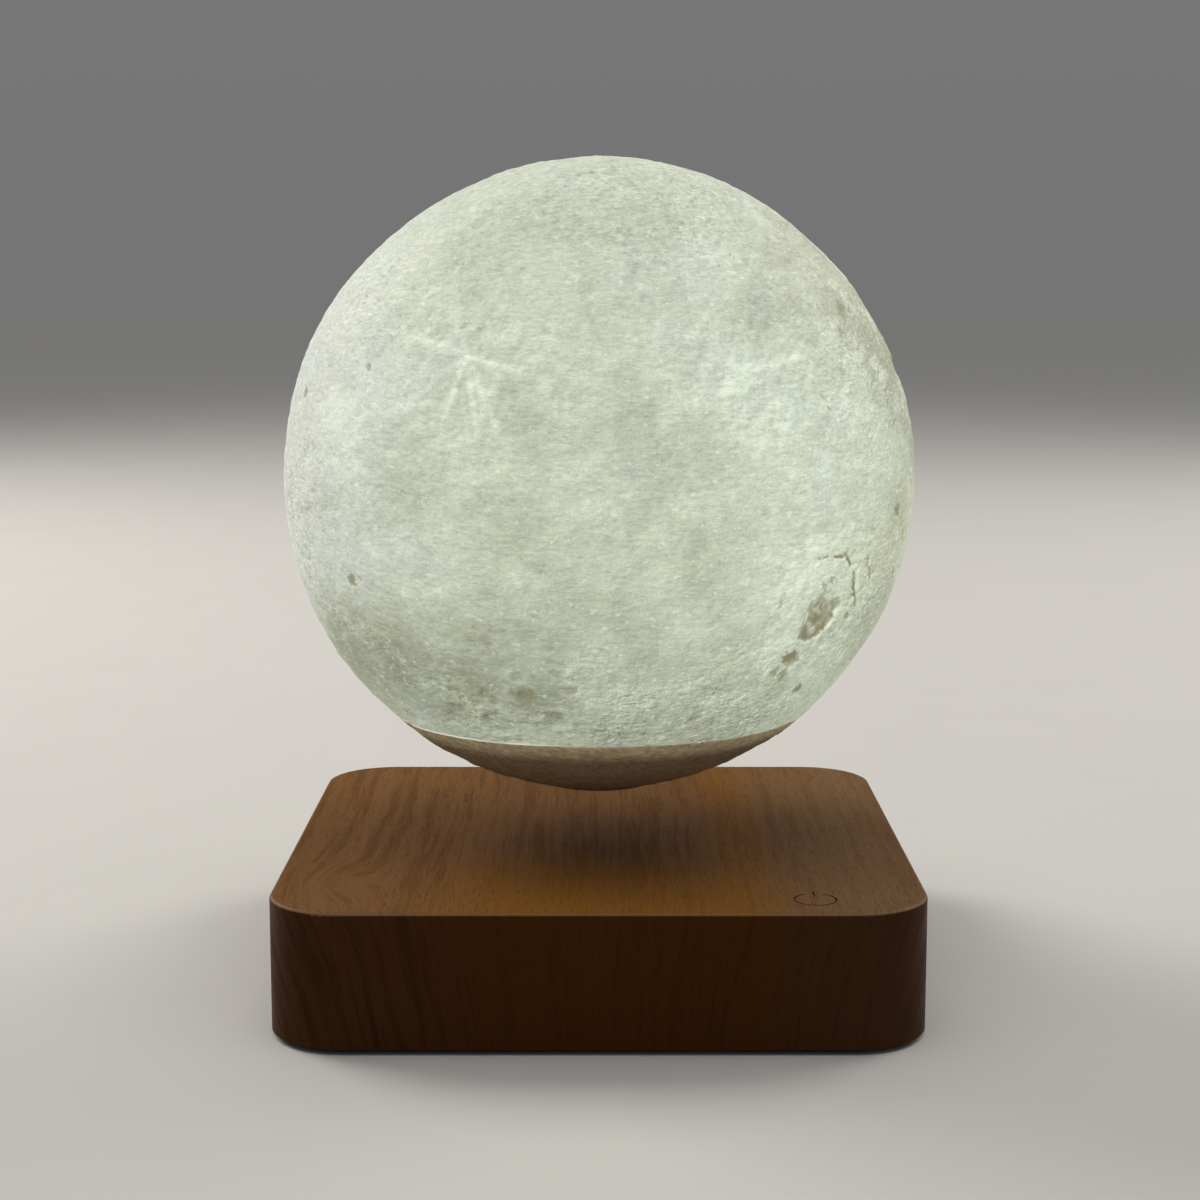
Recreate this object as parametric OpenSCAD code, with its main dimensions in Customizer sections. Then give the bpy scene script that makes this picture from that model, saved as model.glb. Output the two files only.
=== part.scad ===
// Moon lamp: a printed moon globe that floats above a wooden magnetic base.
//
// Millimetres, +Z up. The origin is on the table under the middle of the base.
// The front of the base, where the touch key is, faces -Y. The globe is drawn
// floating at rest, held by the magnets and lit by power sent through the air.

/* [Globe] */
// Diameter of the globe
globe_d = 150; // [140:1:180]
// Wall of the printed shell
shell_wall = 1.8; // [1.4:0.1:2.6]
// Height of the closing cap, from the bottom pole of the globe to the seam
cap_h = 18.75; // [17.5:0.25:21]
// Wall of the closing cap
cap_wall = 2.4; // [2:0.1:3]
// How much of the bottom pole is cut off flat
flat_cut = 1.6; // [1.4:0.1:2]

/* [Floating magnet] */
// Air gap between the base and the foot of the globe
float_gap = 13; // [8:0.5:20]
// Diameter of the floating magnet
float_magnet_d = 40; // [36:0.5:42]
// Thickness of the floating magnet
float_magnet_h = 9.5; // [7:0.5:12]
// Diameter of the foot disc under the globe
foot_disc_d = 26.6; // [22:0.2:28]
// Thickness of the foot disc
foot_disc_h = 0.9; // [0.6:0.1:1.2]
// Diameter of the foot's spigot, which goes up through the cap
spigot_d = 16; // [10:0.5:18]

/* [Base case] */
// Width of the square base
base_w = 146; // [142:1:170]
// Height of the wooden case
base_h = 30.5; // [30:0.5:45]
// Radius of the upright corners
base_corner_r = 17.5; // [15:0.5:22]
// Radius of the rounded top edge
edge_round = 1; // [0.4:0.1:1.4]
// Wall of the case
base_wall = 5; // [4.4:0.1:5.4]
// Wood left above the electronics
top_skin = 3; // [2.5:0.1:4]
// Thickness of the bottom plate
plate_t = 2.5; // [2:0.1:3]
// Diameter of the rubber feet
rubber_d = 14; // [10:0.5:16]
// Thickness of the rubber feet
rubber_h = 2; // [1.5:0.1:3]
// How deep the rubber feet sit in the plate
rubber_recess = 0.7; // [0.4:0.1:1]
// Distance of the middle of the rubber feet from the sides of the base
rubber_from_side = 23; // [22:0.5:27]

/* [Touch key] */
// Diameter of the engraved power sign
sign_d = 9.6; // [8:0.2:11]
// Width of the engraved line
sign_line = 0.4; // [0.3:0.05:0.8]
// Depth of the engraved line
sign_depth = 0.3; // [0.2:0.05:0.5]
// Distance of the sign from the right side of the base
sign_from_side = 25.4; // [24:0.2:28]
// Distance of the sign from the front of the base
sign_from_front = 11; // [10.8:0.2:12]

/* [Power inlet] */
// Bore of the socket that takes the plug
socket_d = 6; // [5.6:0.1:6.4]
// Depth of the socket
socket_depth = 9.5; // [8:0.5:11]
// Diameter of the centre pin
pin_d = 2; // [1.6:0.1:2.5]
// Height of the inlet above the table
inlet_z = 15; // [14:0.5:17]

/* [Magnets and coils in the base] */
// Distance of the lifting ring magnet from the sides of the base
ring_from_side = 23; // [22:0.5:26]
// Width of the lifting ring magnet, from its inner rim to its outer rim
ring_width = 14; // [12:0.5:15]
// Height of the lifting ring magnet
ring_h = 12; // [8:0.5:12.5]
// Diameter of the flanges of the steering coils
flange_d = 22; // [18:0.5:23]
// Diameter of the iron cores
core_d = 8; // [5:0.5:8.5]
// Distance of the flat sending coil's rim from the ring magnet's rim
send_coil_inset = 4; // [3:0.5:10]
// Thickness of the flat coils
flat_coil_h = 1.8; // [1:0.1:2]

/* [Light] */
// Number of white lamps on the light board
lamp_count = 12; // [6:1:14]
// Diameter of the light board
light_board_d = 44; // [40:1:60]
// Height of the standoffs under the light board
standoff_h = 12; // [10:0.5:30]

/* [Hidden] */
$fn = 96;

// Fits
gap = 0.3;              // clearance between parts that only pass each other
slip = 0.1;             // clearance round parts that slide together
past = 1;               // how far a cutter runs past the face it cuts

// Circuit boards and their screws
board_t = 1.6;
thin_board_t = 1.2;
screw_shank_d = 2.8;
screw_head_d = 5.8;
screw_head_h = 1.4;
small_shank_d = 2;
small_head_d = 3.8;
small_head_h = 1.1;
pilot_play = 0.1;       // how much wider a screw's pilot hole is than its shank
pass_play = 0.4;        // how much wider a through hole is than the shank
pilot_spare = 0.5;      // how much deeper a pilot hole is than its screw's reach

// Base, from the table up
case_z = rubber_h - rubber_recess;
top_z = case_z + base_h;
roof_z = top_z - top_skin;
plate_top_z = case_z + plate_t;
boss_narrowing = 2;     // how much narrower a boss on the plate is than a lug of the tray
rebate_wall = 2.5;
room_w = base_w - 2 * base_wall;
room_corner_r = base_corner_r - base_wall;
rebate_w = base_w - 2 * rebate_wall;
rebate_corner_r = base_corner_r - rebate_wall;
plate_w = rebate_w - 2 * gap;
board_margin = 14;      // from the control board's edge to the wooden wall
control_w = room_w - 2 * board_margin;
post_d = 10;
post_inset = 6.5;       // from a screw post's middle to the wooden walls
post_at = room_w / 2 - post_inset;
plate_screw_grip = 7;   // how far a plate screw reaches into its post
post_hole_spare = 3;
post_hole_depth = plate_screw_grip + post_hole_spare;
head_recess = 1.2;      // how deep a plate screw's head is sunk into the plate
head_inset = 0.2;       // how far the head lies inside its recess
rubber_at = base_w / 2 - rubber_from_side;
vent_w = 2.2;
vent_l = 24;
vent_pitch = 6;
vents_per_side = 6;
vent_from_middle = 24;

// Magnet module, from the wooden roof down
coil_under_roof = 0.4;
send_coil_z = roof_z - coil_under_roof - flat_coil_h;
send_coil_inner_d = 46;
cover_t = 1;
cover_z = send_coil_z - cover_t;
ring_outer_d = base_w - 2 * ring_from_side;
ring_inner_d = ring_outer_d - 2 * ring_width;
ring_under_cover = 0.7;
ring_z = cover_z - ring_under_cover - ring_h;
send_coil_d = ring_outer_d - 2 * send_coil_inset;
tray_floor_t = 1.5;
tray_z = ring_z - tray_floor_t;
chip_room = 2.5;        // under the tray, for the chips on the control board
parts_z = tray_z - chip_room;
control_z = parts_z - board_t;
tray_wall = 1.7;
tray_inner_d = ring_inner_d - 2 * gap - 2 * tray_wall;
tray_outer_d = ring_outer_d + 2 * gap + 2 * tray_wall;
lug_d = 10;
lug_out = 4;            // from the tray's rim to the middle of its lugs
lug_at = tray_outer_d / 2 + lug_out;
module_pilot_below = 1; // how far the module screws' pilot holes go below the plate's top
module_screw_l = cover_z + cover_t - plate_top_z + module_pilot_below - pilot_spare;
hall = [4, 3, 1.2];
hall_at = 4;            // from the middle of the base to each hall sensor
header = [8, 2.6];
sensor_z = cover_z - gap - hall.z - thin_board_t;
flange_t = 1;
winding_inset = 0.5;    // from the flange's rim to the winding
tube_wall = 1;
tube_d = core_d + 2 * slip + 2 * tube_wall;
sensor_board_d = 40;
coil_at_least = flange_d / sqrt(2);                 // where neighbouring flanges would touch
coil_at_most = tray_inner_d / 2 - flange_d / 2;     // where the flanges would touch the tray
coil_at = (coil_at_least + coil_at_most) / 2;
sides = ["front", "right", "rear", "left"];

// Touch key
sign_x = base_w / 2 - sign_from_side;
sign_y = sign_from_front - base_w / 2;
sign_bar = 3.7;
sign_opening = 50;      // opening of the ring, in degrees
touch_pad_d = 10;
touch_pad_t = 0.3;
touch_board = [16, 10.4, 1];
touch_board_shift = 2;  // from the sign to the middle of the board, away from the screw post
touch_board_x = sign_x - touch_board_shift;
touch_board_z = roof_z - touch_pad_t - touch_board.z;
touch_chip = [5, 4, 1.2];
touch_lead_inset = 2;
touch_lead_x = touch_board_x + touch_board.x / 2 - touch_lead_inset;

// Parts near the corners of the control board
corner_inset = 4.5;
corner_at = control_w / 2 - corner_inset;
power_plug = [8, 6, 7];
touch_plug = [9, 5, 6];
choke = [8, 8, 5];
capacitor_d = 8.4;
capacitor_h = 11;
capacitor_pitch = 16;
driver_chip = [5, 6, 1.5];
driver_pitch = 9;
controller = [8, 8, 1.2];
under_ring = (ring_inner_d + ring_outer_d) / 4;

// Power inlet, in the middle of the rear wall
rear_y = base_w / 2;
bezel_d = 13.4;
bezel_t = 1.4;
bezel_recess = 1.6;
barrel_d = 10;
barrel_back = 3.5;      // solid end of the inlet behind the socket
bezel_y = rear_y - bezel_recess;
socket_end_y = bezel_y + bezel_t - socket_depth;
barrel_end_y = socket_end_y - barrel_back;
pin_tip_inset = 1.4;
pin_root_d = pin_d + 0.6;
nut_af = 14;
nut_t = 2;
tag = [1.6, 2.5, 0.8];
tag_at = 2.6;

// Leads
lead_d = 1.4;
thin_lead_d = 1;
lead_pitch = 4;         // between the two leads of a pair, on a plug
lead_sides = 8;
lead_steps = 14;
touch_lead_bend = 5;    // straight reach of the touch leads at their ends
lead_under_roof = 1.9;  // from the roof to the middle of the higher power lead
arch_step = 6;
send_lead_angles = [208, 213];
send_lead_rise = 0.5;   // past the tray's rim, where the lead is at its highest
send_lead_drop = 5;     // past the tray's rim, where the lead goes straight down

// Globe, from its bottom up
globe_r = globe_d / 2;
foot_z = top_z + float_gap;
cap_flat_z = foot_z + foot_disc_h + gap;
globe_z = cap_flat_z - flat_cut + globe_r;
seam_z = globe_z - globe_r + cap_h;
cap_floor_t = 2.1;
well_floor_z = cap_flat_z + cap_floor_t;
float_magnet_z = well_floor_z + gap;
magnet_proud = 2;       // how far the floating magnet stands out of its well
well_h = float_magnet_h - magnet_proud;
shelf_z = well_floor_z + well_h;
well_d = float_magnet_d + 2 * gap;
well_wall = 2;
cap_room_r = globe_r - cap_wall;
shell_room_r = globe_r - shell_wall;
lip_r = room_radius(shell_room_r, seam_z) - gap;
lip_wall = 2;
lip_h = 4;
lip_root = 1.8;         // how far the lip reaches down behind the seam
board_over_magnet = 1.5;
receiver_z = float_magnet_z + float_magnet_h + board_over_magnet;
receiver_play = 0.9;    // from the receiver board's rim to the bowl
lip_play = 0.5;         // from the receiver board's rim to the lip
receiver_r = min(room_radius(cap_room_r, receiver_z) - receiver_play, lip_r - lip_wall - lip_play);
receiver_post_d = 5;
receiver_post_inset = 3;
receiver_post_root = 4; // how far a post reaches down beside the shelf
receiver_post_at = receiver_r - receiver_post_inset;
receiver_screw_grip = 2.5;
receive_coil_t = 1.5;
receive_coil_play = 0.6;
receive_coil_gap = 1;   // from the well's wall to the coil
receive_coil_inner_r = well_d / 2 + well_wall + receive_coil_gap;
receive_coil_r = min(
    room_radius(cap_room_r, shelf_z) - receive_coil_play,
    receiver_post_at - receiver_post_d / 2 - gap
);
rib_t = 2;
rib_count = 6;
light_z = receiver_z + thin_board_t + standoff_h;
standoff_d = 6;
standoff_at = 10;
standoff_count = 3;
light_screw_grip = 4;
lamp = [5, 5, 1.6];
lamp_inset = 4.5;       // from the light board's rim to the middle of its lamps
lamp_ring = light_board_d / 2 - lamp_inset;

// Parts on the receiver board
row_y = 24;             // the rows of parts lie this far in front of and behind the middle
rectifier = [6, 5, 2];
regulator = [5, 6, 1.5];
regulator_x = -9;
light_plug = [8, 5, 6];
light_lead_pitch = 3;
filter_d = 7;
filter_h = 8;
filter_x = 10;
converter_coil = [6, 6, 3];

// ---------- Functions ----------

// Radius of the circle at height z inside a round room of radius r in the globe
function room_radius(r, z) = sqrt(r * r - (z - globe_z) * (z - globe_z));

// Points of a smooth curve with four control points
function curve(p, steps) = [
    for (i = [0 : steps])
        let (t = i / steps, u = 1 - t)
        u * u * u * p[0] + 3 * u * u * t * p[1] + 3 * u * t * t * p[2] + t * t * t * p[3]
];

function unit(v) = v / norm(v);

// Direction of a line of points at point i
function heading(line, i) =
    unit(line[min(i + 1, len(line) - 1)] - line[max(i - 1, 0)]);

// ---------- Shared shapes ----------

module rounded_square(width, corner_r) {
    side = width - 2 * corner_r;
    square([width, side], center = true);
    square([side, width], center = true);
    for (x = [-1, 1], y = [-1, 1])
        translate([x * side / 2, y * side / 2])
            circle(r = corner_r);
}

module rounded_prism(width, corner_r, bottom, top) {
    translate([0, 0, bottom])
        linear_extrude(top - bottom)
            rounded_square(width, corner_r);
}

module disc(d, bottom, top) {
    translate([0, 0, bottom])
        cylinder(h = top - bottom, d = d);
}

module ring(inner_d, outer_d, bottom, top) {
    difference() {
        disc(outer_d, bottom, top);
        disc(inner_d, bottom - past, top + past);
    }
}

// A box that stands on z, centred on x and y
module block(size, x, y, z) {
    translate([x - size.x / 2, y - size.y / 2, z])
        cube(size);
}

module at_corners(distance) {
    for (x = [-1, 1], y = [-1, 1])
        translate([x * distance, y * distance, 0])
            children();
}

module at_diagonals(radius) {
    for (a = [45 : 90 : 315])
        rotate([0, 0, a])
            translate([radius, 0, 0])
                children();
}

module around(count, radius) {
    for (i = [0 : count - 1])
        rotate([0, 0, i * 360 / count])
            translate([radius, 0, 0])
                children();
}

// Pan-head screw with its head standing on z = 0 and its shank below
module screw(head_d, head_h, shank_d, shank_l) {
    slot_w = head_d / 7;
    slot_l = head_d * 0.6;
    difference() {
        union() {
            cylinder(h = head_h, d = head_d);
            translate([0, 0, -shank_l])
                cylinder(h = shank_l + head_h / 2, d = shank_d);
        }
        for (a = [0, 90])
            rotate([0, 0, a])
                translate([-slot_l / 2, -slot_w / 2, head_h / 2])
                    cube([slot_l, slot_w, head_h]);
    }
}

// Round lead along a smooth curve, its ends square to the end directions
module lead(p, d, sideways) {
    line = curve(p, lead_steps);
    n = lead_sides;
    rings = len(line);
    points = [
        for (i = [0 : rings - 1])
            let (
                ahead = i == 0 ? unit(p[1] - p[0]) : i == rings - 1 ? unit(p[3] - p[2]) : heading(line, i),
                across = unit(cross(ahead, sideways)),
                over = cross(across, ahead)
            )
            for (k = [0 : n - 1])
                line[i] + d / 2 * (cos(k * 360 / n) * across + sin(k * 360 / n) * over)
    ];
    sides_of_tube = [
        for (i = [0 : rings - 2], k = [0 : n - 1])
            let (next = (k + 1) % n)
            each [
                [i * n + k, (i + 1) * n + next, i * n + next],
                [i * n + k, (i + 1) * n + k, (i + 1) * n + next]
            ]
    ];
    start = [for (k = [1 : n - 2]) [0, k, k + 1]];
    end = [for (k = [1 : n - 2]) [(rings - 1) * n, (rings - 1) * n + k + 1, (rings - 1) * n + k]];
    polyhedron(points = points, faces = concat(sides_of_tube, start, end));
}

// ---------- Base case ----------

// Upright section of the wooden block from its middle out to its side
module edge_section(reach) {
    square([reach, base_h - edge_round]);
    square([reach - edge_round, base_h]);
    translate([reach - edge_round, base_h - edge_round])
        circle(r = edge_round);
}

module wooden_block() {
    side = base_w - 2 * base_corner_r;
    translate([0, 0, case_z]) {
        block([side + 2 * past, side + 2 * past, base_h], 0, 0, 0);
        at_corners(side / 2)
            rotate_extrude()
                edge_section(base_corner_r);
        for (a = [0 : 90 : 270])
            rotate([0, 0, a])
                translate([side / 2 - past, side / 2, 0])
                    rotate([90, 0, 0])
                        linear_extrude(side)
                            edge_section(base_corner_r + past);
    }
}

// Power sign: an open ring with a bar in its opening
module power_sign(bottom, top) {
    outer = sign_d / 2;
    inner = outer - sign_line;
    wedge = outer * 1.4;
    half = sign_opening / 2;
    difference() {
        ring(2 * inner, 2 * outer, bottom, top);
        translate([0, 0, bottom - past])
            linear_extrude(top - bottom + 2 * past)
                polygon([[0, 0], wedge * [sin(half), cos(half)], wedge * [-sin(half), cos(half)]]);
    }
    translate([-sign_line / 2, outer - sign_bar * 0.6, bottom])
        cube([sign_line, sign_bar, top - bottom]);
}

module base_case() {
    color("saddlebrown")
        difference() {
            union() {
                difference() {
                    wooden_block();
                    rounded_prism(room_w, room_corner_r, case_z - past, roof_z);
                    rounded_prism(rebate_w, rebate_corner_r, case_z - past, plate_top_z);
                }
                at_corners(post_at)
                    disc(post_d, plate_top_z, roof_z + past / 2);
            }
            at_corners(post_at)
                disc(screw_shank_d + pilot_play, plate_top_z - past, plate_top_z + post_hole_depth);
            translate([0, 0, inlet_z])
                rotate([-90, 0, 0]) {
                    disc(barrel_d + 2 * gap, room_w / 2 - past, rear_y + past);
                    disc(bezel_d + 2 * gap, bezel_y, rear_y + past);
                }
            translate([sign_x, sign_y, 0])
                power_sign(top_z - sign_depth, top_z + past);
        }
}

module vents() {
    for (i = [0 : vents_per_side - 1], y = [-1, 1])
        block(
            [vent_w, vent_l, plate_t + 2 * past],
            (i - (vents_per_side - 1) / 2) * vent_pitch, y * vent_from_middle, case_z - past
        );
}

module bottom_plate() {
    color("#26221f")
        difference() {
            union() {
                rounded_prism(plate_w, rebate_corner_r - gap, case_z, plate_top_z);
                at_diagonals(lug_at)
                    disc(lug_d - boss_narrowing, plate_top_z - plate_t / 2, control_z);
            }
            at_corners(rubber_at)
                disc(rubber_d + 2 * slip, case_z - past, rubber_h);
            at_corners(post_at) {
                disc(screw_shank_d + pass_play, case_z - past, plate_top_z + past);
                disc(screw_head_d + pass_play, case_z - past, case_z + head_recess);
            }
            at_diagonals(lug_at)
                disc(screw_shank_d + pilot_play, plate_top_z - module_pilot_below, control_z + past);
            vents();
        }
}

module plate_screws() {
    color("silver")
        at_corners(post_at)
            translate([0, 0, case_z + head_recess])
                rotate([180, 0, 0])
                    screw(screw_head_d, head_recess - head_inset, screw_shank_d, plate_t + plate_screw_grip);
}

module rubber_foot(x, y) {
    color("#1c1c1c")
        translate([x * rubber_at, y * rubber_at, 0])
            disc(rubber_d, 0, rubber_h);
}

// ---------- Control board ----------

module control_board() {
    color("darkgreen")
        difference() {
            block([control_w, control_w, board_t], 0, 0, control_z);
            at_diagonals(lug_at)
                disc(screw_shank_d + pass_play, control_z - past, parts_z + past);
        }
}

module capacitors() {
    color("#2b2f38")
        for (i = [0, 1])
            translate([corner_at, corner_at - i * capacitor_pitch, 0])
                disc(capacitor_d, parts_z, parts_z + capacitor_h);
}

module choke_coil() {
    color("#4a4a4a")
        block(choke, -corner_at, -corner_at, parts_z);
}

module driver_chips() {
    color("#191919")
        for (i = [-1.5 : 1.5])
            block(driver_chip, i * driver_pitch, under_ring, parts_z);
}

module controller_chip() {
    color("#191919")
        block(controller, under_ring, 0, parts_z);
}

module power_connector() {
    color("ivory")
        block(power_plug, -corner_at, corner_at, parts_z);
}

module touch_connector() {
    color("ivory")
        block(touch_plug, corner_at, -corner_at, parts_z);
}

// ---------- Magnet module ----------

module magnet_tray() {
    color("#303030")
        difference() {
            union() {
                disc(tray_outer_d, tray_z, cover_z);
                at_diagonals(lug_at)
                    disc(lug_d, parts_z, cover_z);
            }
            disc(tray_inner_d, parts_z - past, cover_z + past);
            ring(ring_inner_d - 2 * gap, ring_outer_d + 2 * gap, ring_z, cover_z + past);
            at_diagonals(lug_at)
                disc(screw_shank_d + pass_play, parts_z - past, cover_z + past);
        }
}

module ring_magnet() {
    color("#8f9498")
        ring(ring_inner_d, ring_outer_d, ring_z, ring_z + ring_h);
}

module module_cover() {
    color("#303030")
        difference() {
            union() {
                disc(tray_outer_d, cover_z, cover_z + cover_t);
                at_diagonals(lug_at)
                    disc(lug_d, cover_z, cover_z + cover_t);
            }
            at_diagonals(lug_at)
                disc(screw_shank_d + pass_play, cover_z - past, cover_z + cover_t + past);
        }
}

module module_screws() {
    color("silver")
        at_diagonals(lug_at)
            translate([0, 0, cover_z + cover_t])
                screw(screw_head_d, screw_head_h, screw_shank_d, module_screw_l);
}

// Puts a part at the steering coil on one side of the base
module on_side(i) {
    rotate([0, 0, -90 + 90 * i])
        translate([coil_at, 0, 0])
            children();
}

module bobbin(i) {
    color("#d8d0b8")
        on_side(i)
            difference() {
                union() {
                    disc(tube_d, parts_z, sensor_z);
                    disc(flange_d, parts_z, parts_z + flange_t);
                    disc(flange_d, sensor_z - flange_t, sensor_z);
                }
                disc(core_d + 2 * slip, parts_z - past, sensor_z + past);
            }
}

module winding(i) {
    color("#b5651d")
        on_side(i)
            ring(tube_d + 2 * slip, flange_d - 2 * winding_inset, parts_z + flange_t, sensor_z - flange_t);
}

module core(i) {
    color("#7a7d80")
        on_side(i)
            disc(core_d, parts_z, sensor_z);
}

module sensor_board() {
    color("darkgreen")
        disc(sensor_board_d, sensor_z, sensor_z + thin_board_t);
}

module hall_sensors() {
    color("#191919")
        for (p = [[-hall_at, 0], [hall_at, 0], [0, hall_at]])
            block(hall, p.x, p.y, sensor_z + thin_board_t);
}

module sensor_header() {
    color("#191919")
        block([header.x, header.y, sensor_z - parts_z], 0, 0, parts_z);
}

module send_coil() {
    color("#b5651d")
        ring(send_coil_inner_d, send_coil_d, send_coil_z, send_coil_z + flat_coil_h);
}

module send_leads() {
    tray_r = tray_outer_d / 2;
    mid_z = send_coil_z + flat_coil_h / 2;
    over_z = roof_z - thin_lead_d / 2 - slip;
    color("#b5651d")
        for (a = send_lead_angles)
            rotate([0, 0, a])
                lead(
                    [
                        [send_coil_d / 2 + slip, 0, mid_z],
                        [tray_r + send_lead_rise, 0, over_z],
                        [tray_r + send_lead_drop, 0, over_z],
                        [tray_r + send_lead_drop, 0, parts_z]
                    ],
                    thin_lead_d, [0, 1, 0]
                );
}

// ---------- Touch key ----------

module touch_pad() {
    color("#b87333")
        translate([sign_x, sign_y, 0])
            disc(touch_pad_d, roof_z - touch_pad_t, roof_z);
}

module touch_board() {
    color("darkgreen")
        block(touch_board, touch_board_x, sign_y, touch_board_z);
}

module touch_chip() {
    color("#191919")
        block(touch_chip, touch_board_x, sign_y, touch_board_z - touch_chip.z);
}

module touch_leads() {
    plug_top = parts_z + touch_plug.z;
    color("#a02020")
        for (side = [-lead_pitch / 2, lead_pitch / 2])
            lead(
                [
                    [touch_lead_x, sign_y + side, touch_board_z],
                    [touch_lead_x, sign_y + side, touch_board_z - touch_lead_bend],
                    [corner_at + side, -corner_at, plug_top + touch_lead_bend],
                    [corner_at + side, -corner_at, plug_top]
                ],
                thin_lead_d, [1, 0, 0]
            );
}

// ---------- Power inlet ----------

module along_rear() {
    translate([0, 0, inlet_z])
        rotate([-90, 0, 0])
            children();
}

module inlet_body() {
    color("#1c1c1c")
        along_rear()
            difference() {
                union() {
                    disc(bezel_d, bezel_y, bezel_y + bezel_t);
                    disc(barrel_d, barrel_end_y, bezel_y + bezel_t / 2);
                }
                disc(socket_d, socket_end_y, rear_y + past);
                disc(pin_root_d, barrel_end_y - past, socket_end_y + past);
            }
}

module inlet_pin() {
    color("gold")
        along_rear() {
            disc(pin_root_d, barrel_end_y, socket_end_y);
            disc(pin_d, socket_end_y - past, bezel_y + bezel_t - pin_tip_inset);
        }
}

module inlet_nut() {
    color("#9a9a9a")
        along_rear()
            difference() {
                translate([0, 0, room_w / 2 - nut_t])
                    cylinder(h = nut_t, d = nut_af / cos(30), $fn = 6);
                disc(barrel_d + 2 * slip, room_w / 2 - nut_t - past, room_w / 2 + past);
            }
}

module inlet_tags() {
    color("silver")
        for (x = [-1, 1])
            translate([x * tag_at - tag.x / 2, barrel_end_y - tag.y, inlet_z - tag.z / 2])
                cube(tag);
}

module power_leads() {
    plug_top = parts_z + power_plug.z;
    tag_top = inlet_z + tag.z / 2;
    high_arch = 4 / 3 * (roof_z - lead_under_roof - (tag_top + plug_top) / 2);
    color("#222222")
        for (side = [-1, 1])
            let (
                arch = side < 0 ? high_arch - arch_step : high_arch,
                plug_x = -corner_at - side * lead_pitch / 2
            )
            lead(
                [
                    [side * tag_at, barrel_end_y - tag.y / 2, tag_top],
                    [side * tag_at, barrel_end_y - tag.y / 2, tag_top + arch],
                    [plug_x, corner_at, plug_top + arch],
                    [plug_x, corner_at, plug_top]
                ],
                lead_d, [0, 1, 0]
            );
}

// ---------- Floating magnet ----------

module float_magnet() {
    color("#8f9498")
        disc(float_magnet_d, float_magnet_z, float_magnet_z + float_magnet_h);
}

module float_foot() {
    color("#3d2c1c") {
        disc(foot_disc_d, foot_z, foot_z + foot_disc_h);
        disc(spigot_d, foot_z + foot_disc_h / 2, float_magnet_z);
    }
}

// ---------- Globe ----------

module globe_shell() {
    color("#d8dccb")
        translate([0, 0, globe_z])
            difference() {
                sphere(r = globe_r);
                sphere(r = shell_room_r);
                block([globe_d + 2, globe_d + 2, cap_h + past], 0, 0, -globe_r - past);
            }
}

module cap_bowl() {
    translate([0, 0, globe_z])
        difference() {
            sphere(r = globe_r);
            sphere(r = cap_room_r);
            block([globe_d + 2, globe_d + 2, globe_d], 0, 0, seam_z - globe_z);
        }
}

// Floor, magnet well, ribs and screw posts, trimmed to the inside of the bowl
module cap_inside() {
    pole_z = globe_z - globe_r;
    intersection() {
        translate([0, 0, globe_z])
            sphere(r = globe_r - cap_wall / 2);
        union() {
            disc(globe_d, pole_z, well_floor_z);
            disc(well_d + 2 * well_wall, pole_z, shelf_z);
            for (i = [0 : rib_count / 2 - 1])
                rotate([0, 0, i * 360 / rib_count])
                    block([2 * receive_coil_r, rib_t, shelf_z - pole_z], 0, 0, pole_z);
            at_diagonals(receiver_post_at)
                disc(receiver_post_d, shelf_z - receiver_post_root, receiver_z);
        }
    }
}

module bottom_cap() {
    color("#57443a")
        difference() {
            union() {
                cap_bowl();
                cap_inside();
                ring(2 * (lip_r - lip_wall), 2 * lip_r, seam_z - lip_root, seam_z + lip_h);
            }
            disc(globe_d, globe_z - globe_r - past, cap_flat_z);
            disc(well_d, well_floor_z, receiver_z + past);
            disc(spigot_d + 2 * gap, cap_flat_z - past, well_floor_z + past);
            at_diagonals(receiver_post_at)
                disc(
                    small_shank_d + pilot_play,
                    receiver_z - receiver_screw_grip - pilot_spare, receiver_z + past
                );
        }
}

module receive_coil() {
    color("#b5651d")
        ring(2 * receive_coil_inner_r, 2 * receive_coil_r, shelf_z, shelf_z + receive_coil_t);
}

module receive_leads() {
    color("#b5651d")
        for (y = [-lead_pitch / 2, lead_pitch / 2])
            translate([(receive_coil_inner_r + receive_coil_r) / 2, y, 0])
                disc(thin_lead_d, shelf_z + receive_coil_t, receiver_z);
}

module receiver_board() {
    color("darkgreen")
        difference() {
            disc(2 * receiver_r, receiver_z, receiver_z + thin_board_t);
            at_diagonals(receiver_post_at)
                disc(small_shank_d + pass_play, receiver_z - past, receiver_z + thin_board_t + past);
        }
}

module receiver_parts() {
    z = receiver_z + thin_board_t;
    color("#191919") {
        block(rectifier, 0, row_y, z);
        block(regulator, regulator_x, row_y, z);
        translate([filter_x, row_y, 0])
            disc(filter_d, z, z + filter_h);
        block(light_plug, 0, 0, z);
        block(converter_coil, 0, -row_y, z);
    }
}

module receiver_screws() {
    color("silver")
        at_diagonals(receiver_post_at)
            translate([0, 0, receiver_z + thin_board_t])
                screw(small_head_d, small_head_h, small_shank_d, thin_board_t + receiver_screw_grip);
}

module standoffs() {
    color("#c9b26b")
        around(standoff_count, standoff_at)
            difference() {
                disc(standoff_d, receiver_z + thin_board_t, light_z);
                disc(
                    small_shank_d + pilot_play,
                    light_z - light_screw_grip - pilot_spare, light_z + past
                );
            }
}

module light_board() {
    color("#eeeeee")
        difference() {
            disc(light_board_d, light_z, light_z + thin_board_t);
            around(standoff_count, standoff_at)
                disc(small_shank_d + pass_play, light_z - past, light_z + thin_board_t + past);
        }
}

module lamps() {
    color("#fff2b0") {
        around(lamp_count, lamp_ring)
            block(lamp, 0, 0, light_z + thin_board_t);
        block(lamp, 0, 0, light_z + thin_board_t);
    }
}

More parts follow.
